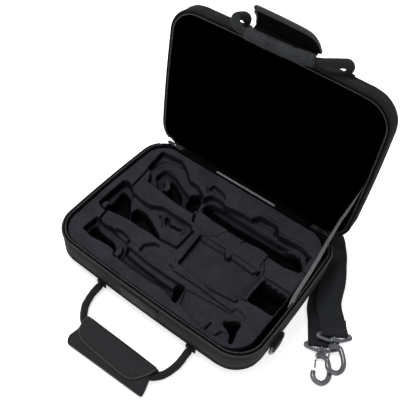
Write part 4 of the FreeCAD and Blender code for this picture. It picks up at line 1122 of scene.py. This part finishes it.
v = []
for layer in (0.0, -1.2):
    for i in range(nr + 1):
        t = i / nr
        for j in range(nc):
            x0 = -43.5 + (72.5 + 43.5) * j / (nc - 1)
            a = np.array([x0, -176.6])
            p_ = a + (flap_out[j, :2] - a) * t
            z = flap_z(p_[1]) + 0.5 * math.sin(p_[0] * 0.05) + 0.25 * math.sin(p_[0] * 0.11 + p_[1] * 0.07) + layer
            v.append((p_[0], p_[1], z))
m, n = nr + 1, nc
f = grid_faces(m, n, False) + [tuple(q_[::-1]) for q_ in grid_faces(m, n, False, off=m * n)]
for i in range(m - 1):
    for j in (0, n - 1):
        a, b = i * n + j, (i + 1) * n + j
        f.append((a, b, m * n + b, m * n + a))
for j in range(n - 1):
    for i in (0, m - 1):
        a, b = i * n + j, i * n + j + 1
        f.append((a, b, m * n + b, m * n + a))
flap = make("base_wrap_leaf", v, f, M_LEATHER)
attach(flap, "base_flap")
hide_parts("base_wrap_flap")
bag, bag2 = Bag(), Bag()
fl = np.array([(p_[0], p_[1], flap_z(p_[1]) + 0.5 * math.sin(p_[0] * 0.05) + 0.25 * math.sin(p_[0] * 0.11 + p_[1] * 0.07)) for p_ in flap_out])
tube(bag, fl + [0, 0, -0.5], 1.0, 8, flat=0.8)
cc = np.array([14.5, -178.0])
for k in (0.93, 0.84):
    inner = np.array([(cc[0] + (p_[0] - cc[0]) * (0.98 if k > 0.9 else 0.955), cc[1] + (p_[1] - cc[1]) * k) for p_ in flap_out])
    inner = np.array([(x, y, flap_z(y) + 0.5 * math.sin(x * 0.05) + 0.25 * math.sin(x * 0.11 + y * 0.07)) for x, y in inner])
    stitch(bag2, inner, (0, -0.15, 1), pitch=2.7, long=1.8, r=0.26, lift=0.1)
o = bag.make("base_wrap_binding", M_EDGE)
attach(o, "base_flap")
o2 = bag2.make("base_wrap_stitches", M_THREAD)
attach(o2, "base_flap")
bag = Bag()
xs = np.arange(-43, 73, 1.0)
tube(bag, np.column_stack([xs, -175.7 + 0.25 * np.sin(xs * 1.9), 16.0 + 0.5 * np.sin(xs * 0.05) + 0.2 * np.sin(xs * 2.7)]), 0.42, 6)
o = bag.make("base_wrap_cut_edge", M_FRINGE)
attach(o, "base_handle")

# lid handle
LH = [
    (-60, 248.0, 20), (-60.5, 251.7, 20), (-64, 258.5, 17.5), (-68.8, 260.5, 3), (-57, 257.2, -9.5), (-35, 256.4, -12.5),
    (6.7, 256.3, -10.9), (33.9, 256.5, -9.1), (55.6, 257.6, -3.8), (74.5, 258.8, 9), (85.5, 259, 17.5), (89.2, 251.7, 20), (89.2, 248.0, 20),
]
LH = [tuple(lidp(*p_)) for p_ in LH]
bag = Bag()
q = smooth_line(LH, 1.5)
rad = 5.1 + 0.12 * np.sin(np.arange(len(q)) * 0.31) + 0.1 * np.sin(np.arange(len(q)) * 0.83)
s_l = np.concatenate([[0], np.cumsum(np.linalg.norm(np.diff(q, axis=0), axis=1))])
rad += 1.1 * np.clip((52 - np.minimum(s_l, s_l[-1] - s_l)) / 20, 0, 1)
rad[:4] = [3.4, 4.2, 4.9, 5.6]
rad[-4:] = [5.6, 4.9, 4.2, 3.4]
tube(bag, q, rad, 18, flat=0.92, up=(0, 1, 0))
o = bag.make("lid_handle_roll", M_CORD)
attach(o, "lid_handle")
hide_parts("lid_handle_cord")
core = [(-42, 256.6, -12.3), (-40, 256.6, -12.2), (-12, 256.3, -11.8), (18, 256.4, -10.3), (50, 257.3, -5.6), (52, 257.4, -5.0)]
qc = smooth_line([tuple(lidp(*p_)) for p_ in core], 1.6)
rad = 8.3 + 0.25 * np.sin(np.arange(len(qc)) * 0.41) + 0.18 * np.sin(np.arange(len(qc)) * 0.97 + 1)
rad[:4] = [6.0, 7.3, 8.0, 8.3]
rad[-4:] = [8.3, 8.0, 7.2, 6.0]
bag = Bag()
tube(bag, qc, rad, 26, up=(0, 1, 0), flat=0.97)
o = bag.make("lid_grip_leather", M_SLEEVE)
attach(o, "lid_handle")
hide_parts("lid_grip_sleeve")
bag = Bag()
for off in (0.55, 0.9):
    t_, s_, n_ = frames(qc, up=(0, 1, 0))
    e = qc + (s_ * math.cos(off) + n_ * math.sin(off)) * 8.3
    stitch(bag, e[2:-2], (0, 0.6, 0.8), pitch=2.8, long=1.9, r=0.27, lift=0.25)
o = bag.make("lid_grip_stitches", M_THREAD)
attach(o, "lid_handle")
roots = Bag()
for x in (-60, 89.2):
    v, f = pad_plate("", (x, 121 - 245.4, Z0 + 19), 7.6, 0.95, 4.9, "lid", M_TAB)
    uv = [((a[2]) * MM, a[0] * MM) for a in v]
    roots.add(v, f, uv)
o = roots.make("lid_handle_anchors", M_TAB, lid=True)
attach(o, "lid")
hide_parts("lid_handle_roots")

# upright flap of the lid's grip: leather outside, dark suede inside
FY, FZ, FA = 145.5, 303.5, math.radians(75)
edge_top = smooth_line([(-37.0, 1.5, 0), (-38.0, 7, 0), (-40.5, 13, 0), (-45.2, 18.8, 0), (-43.0, 21.2, 0), (-34, 21.4, 0), (-20, 21.4, 0), (0, 21.4, 0), (25, 20.8, 0), (38, 18.7, 0), (48, 12.4, 0), (55.5, 2.5, 0)], 2.0)[:, :2]
nr, nc = 12, len(edge_top)


def flap_at(x, e, off=0.0):
    bend = 1.2 * math.sin(x * 0.045) * (e / 21) + 0.03 * max(0, e) ** 1.6 * 0.35
    y = FY + math.cos(FA) * e - math.sin(FA) * (off + bend)
    z = FZ + math.sin(FA) * e + math.cos(FA) * (off + bend)
    return (x, y, z)


def leaf(name, off, th, mat, inset):
    v = []
    for layer in (0.0, -th):
        for i in range(nr + 1):
            t = i / nr
            for j in range(nc):
                x0 = -37 + 92 * j / (nc - 1)
                ex, ee = edge_top[j]
                x = x0 + (ex - x0) * t * (1 - inset * 0.004)
                e = 0.2 + (ee * (1 - inset * 0.05) - 0.2) * t
                v.append(flap_at(x, e, off + layer))
    m, n = nr + 1, nc
    f = grid_faces(m, n, False) + [tuple(q_[::-1]) for q_ in grid_faces(m, n, False, off=m * n)]
    for i in range(m - 1):
        for j in (0, n - 1):
            a, b = i * n + j, (i + 1) * n + j
            f.append((a, b, m * n + b, m * n + a))
    for j in range(n - 1):
        for i in (0, m - 1):
            a, b = i * n + j, i * n + j + 1
            f.append((a, b, m * n + b, m * n + a))
    return make(name, v, f, mat)


outer = leaf("lid_wrap_leaf", 0.0, 1.0, M_EDGE, 0)
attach(outer, "lid_flap")
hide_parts("lid_wrap_flap")
inner = leaf("lid_wrap_suede", 0.75, 0.6, M_SUEDE, 5.4)
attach(inner, "lid_flap")
bag = Bag()
e = np.array([flap_at(x, ee, 0.1) for x, ee in edge_top])
tube(bag, e, 1.6, 10, flat=0.8, up=(0, 0.3, 1))
bnd = bag.make("lid_wrap_binding", M_EDGE)
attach(bnd, "lid_flap")
bag = Bag()
for k in (0.9, 0.8):
    e = np.array([flap_at(x * (0.985 if k > 0.85 else 0.965), ee * k, -1.05) for x, ee in edge_top])
    stitch(bag, e, (0, 1, -0.2), pitch=2.7, long=1.8, r=0.26, lift=0.1)
st = bag.make("lid_wrap_stitches", M_THREAD)
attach(st, "lid_flap")

# leather running from the sleeve's back up to the flap's fold
v = []
xs = np.linspace(-37.5, 51.5, 46)
secs = []
for x in xs:
    k = int(np.argmin(np.abs(qc[:, 0] - x)))
    cy_, cz_ = qc[k, 1], qc[k, 2]
    dy, dz = FY - cy_, FZ - 0.6 - cz_
    ln = math.hypot(dy, dz)
    dy, dz = dy / ln, dz / ln
    row = []
    for q_, h in ((6.5, -0.6), (6.5, 0.6), ((6.5 + ln - 0.6) / 2, 0.6), (ln - 1.1, 0.3)):
        row.append((x, cy_ + dy * q_ - dz * h, cz_ + dz * q_ + dy * h))
    row += [flap_at(x, 1.6, -1.15), flap_at(x, 1.6, -1.9), (x, cy_ + dy * (ln - 0.2) + dz * 0.7, cz_ + dz * (ln - 0.2) - dy * 0.7), (x, cy_ + dy * (6.5 + ln - 0.6) / 2 + dz * 0.6, cz_ + dz * (6.5 + ln - 0.6) / 2 - dy * 0.6)]
    secs.append(row)
m, n = len(secs), len(secs[0])
f = grid_faces(m, n) + [tuple(range(n))[::-1], tuple((m - 1) * n + j for j in range(n))]
o = make("lid_wrap_neck", np.array(secs).reshape(-1, 3), f, M_SUEDE)
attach(o, "lid_handle")

# ------------------------------------------------------------ ring tabs
RY, RZ, RX = -57.0, 30.5, 172.9
for side, sx in (("right", 1), ("left", -1)):
    bag = Bag()
    pts = [(168.6, 42.6), (168.7, 38.5), (169.6, 35.2), (173.0, 34.0), (175.6, 32.6), (176.1, 30.3), (174.9, 27.8), (172.6, 27.1), (170.3, 28.0), (169.5, 30.4), (168.9, 33.2), (168.1, 36.2), (167.9, 42.4)]
    q = smooth_line([(x, 0, z) for x, z in pts], 0.7)
    q = np.column_stack([q[:, 0] * sx, np.full(len(q), RY), q[:, 2]])
    band_mesh(bag, q, np.tile([0, 1, 0], (len(q), 1)), 11.8, 1.2, across=9)
    o = bag.make("ring_tab_" + side, M_TAB)
    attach(o, "base")
    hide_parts("d_ring_tab_" + side)
    bag = Bag()
    for a, b in (((-10, 41.3), (10, 41.3)), ((10, 41.3), (10, 37)), ((10, 37), (-10, 37)), ((-10, 37), (-10, 41.3)), ((-10, 41.3), (10, 37)), ((-10, 37), (10, 41.3))):
        stitch(bag, [(sx * 169.35, RY + a[0], a[1]), (sx * 169.35, RY + (a[0] + b[0]) / 2, (a[1] + b[1]) / 2), (sx * 169.35, RY + b[0], b[1])], (sx, 0, 0), pitch=2.4, long=1.7, r=0.25, lift=0.1)
    o = bag.make("ring_tab_stitches_" + side, M_THREAD)
    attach(o, "base")

# -------------------------------------------------------- shoulder strap
D1, W1 = np.array((0.507, -0.862, 0)), np.array((0.862, 0.507, 0))
D2, W2 = np.array((0.545, -0.838, 0)), np.array((0.838, 0.545, 0))
BAR1, BAR2 = np.array((218.3, -10.2, 4.5)), np.array((225.1, 8.1, 13.2))
P1 = [(213.4, -1.9, 1.4), (200.0, 20.6, 1.4), (188.5, 38.0, 1.4), (182.8, 56.3, 1.7), (180.6, 78.8, 4.8), (173.5, 106.6, 14.6), (160.2, 127.2, 14.6), (147.5, 143.5, 10.5), (134, 147, 4.6), (121, 147, 1.5)]
T1 = [0, 0, 0, 2, 10, 45, 40, 22, 6, 0]
P2 = [(212.6, 27.0, 8.2), (194.5, 49.5, 8.6), (184.0, 78.8, 14.6), (172.3, 105.8, 17.8), (159.0, 126.4, 17.8), (146.1, 143.0, 14.6), (134, 147, 12.6), (121, 147, 11.2)]
T2 = [0, 3, 22, 45, 40, 22, 8, 0]


def tilt(w, a, back):
    c, s = math.cos(math.radians(a)), math.sin(math.radians(a))
    return (w[0] * c * (1 - back), w[1] * c * (1 - back) + back, s)


def strap_end(name, bar, d, w, path, tilts, node):
    r = 3.25
    loop = []
    for a in np.linspace(-90, 90, 9):
        ca, sa = math.cos(math.radians(a)), math.sin(math.radians(a))
        loop.append(bar + d * r * ca + np.array((0, 0, r * sa)))
    tail = [bar - d * 5.0 + np.array((0, 0, 2.2)), bar - d * 9.5 + np.array((0, 0, -0.1)), bar - d * 14 + np.array((0, 0, -1.0)), bar - d * 23 + np.array((0, 0, -1.1))]
    ctrl, ww = [], []
    for p_ in tail[::-1] + loop[::-1]:
        ctrl.append(p_)
        ww.append(tuple(w))
    for i, (p_, t) in enumerate(zip(path, tilts)):
        back = max(0.0, (i - (len(path) - 4)) / 3.0)
        ctrl.append(np.array(p_))
        ww.append(tilt(w, t, back))
    q = smooth_line(np.column_stack([np.array(ctrl), np.array(ww)]), 1.6)
    bag = Bag()
    band_mesh(bag, q[:, :3], q[:, 3:], 17.8, 1.7, across=13)
    o = bag.make(name, M_WEB)
    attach(o, "base")
    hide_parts(node)
    bag = Bag()
    for a in (-13.5, -16.5, -20.5):
        c = bar + d * a + np.array((0, 0, -1.1 + 0.95 + (0.35 if a > -15 else 0)))
        stitch(bag, [c - w * 15.8, c, c + w * 15.8], (0, 0, 1), pitch=2.2, long=1.6, r=0.3, lift=0.1)
    for sx in (-1, 1):
        c0, c1 = bar + d * -13.5 + w * 15.8 * sx, bar + d * -20.5 + w * 15.8 * sx
        stitch(bag, [c0 + [0, 0, 0.1], (c0 + c1) / 2, c1 + [0, 0, -0.1]], (0, 0, 1), pitch=2.2, long=1.6, r=0.3, lift=0.1)
    o = bag.make(name + "_stitches", M_THREAD)
    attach(o, "base")


strap_end("strap_lower_web", BAR1, D1, W1, P1, T1, "strap_end_lower")
strap_end("strap_upper_web", BAR2, D2, W2, P2, T2, "strap_end_upper")
fold = [(121.5, 1.5), (100, 1.45), (40, 1.4), (-40, 1.5), (-88, 1.5), (-95.5, 2.0), (-97.3, 3.1), (-95.5, 4.3), (-88, 4.6), (-40, 4.5), (40, 4.7), (100, 4.6), (108, 4.8), (111.3, 6.2), (108, 7.6), (100, 7.8), (40, 7.7), (-40, 7.9), (-86, 7.8), (-93, 8.3), (-94.8, 9.5), (-93, 10.7), (-86, 11.0), (-40, 11.0), (20, 11.0), (33, 11.4), (39.7, 12.1), (46, 15.6), (52, 18.5), (58, 15.6), (64.3, 12.1), (71, 11.4), (90, 11.0), (121.5, 11.2)]
q = smooth_line([(x, 147, z) for x, z in fold], 1.8)
q[:, 1] += 0.6 * np.sin(q[:, 0] * 0.02)
bag = Bag()
band_mesh(bag, q, np.tile([0, 1, 0], (len(q), 1)), 17.8, 1.5, across=11)
o = bag.make("strap_bundle_web", M_WEB)
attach(o, "base")
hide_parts("strap_folded")

# ------------------------------------------------------ floor, light, end
fm = Tree("floor_white")
fm.link(fm.ramp(fm.noise(3.0, 2), [(0.3, (0.9, 0.9, 0.9)), (0.7, (0.94, 0.94, 0.94))]), fm.b.inputs["Base Color"])
fm.set(Roughness=0.9, Specular_IOR_Level=0.0, Emission_Color=(1, 1, 1, 1), Emission_Strength=0.5)
fme = bpy.data.meshes.new("floor")
S = 6.0
fme.from_pydata([(-S, -S, -0.0006), (S, -S, -0.0006), (S, S, -0.0006), (-S, S, -0.0006)], [], [(0, 1, 2, 3)])
fme.materials.append(fm.m)
floor_o = bpy.data.objects.new("floor", fme)
bpy.context.scene.collection.objects.link(floor_o)

world = bpy.data.worlds.new("studio")
bpy.context.scene.world = world
world.use_nodes = True
world.node_tree.nodes["Background"].inputs[0].default_value = (1, 1, 1, 1)
world.node_tree.nodes["Background"].inputs[1].default_value = 0.6


def area(name, loc, target, size, power):
    d = bpy.data.lights.new(name, "AREA")
    d.shape, d.size, d.energy = "DISK", size, power
    o = bpy.data.objects.new(name, d)
    o.location = loc
    o.rotation_mode = "QUATERNION"
    o.rotation_quaternion = (Vector(target) - Vector(loc)).to_track_quat("-Z", "Y")
    bpy.context.scene.collection.objects.link(o)


area("key", (-0.75, 0.15, 1.9), (0, 0, 0.05), 0.8, 34)
area("fill", (0.9, -1.2, 1.3), (0.05, 0, 0.05), 1.2, 8)
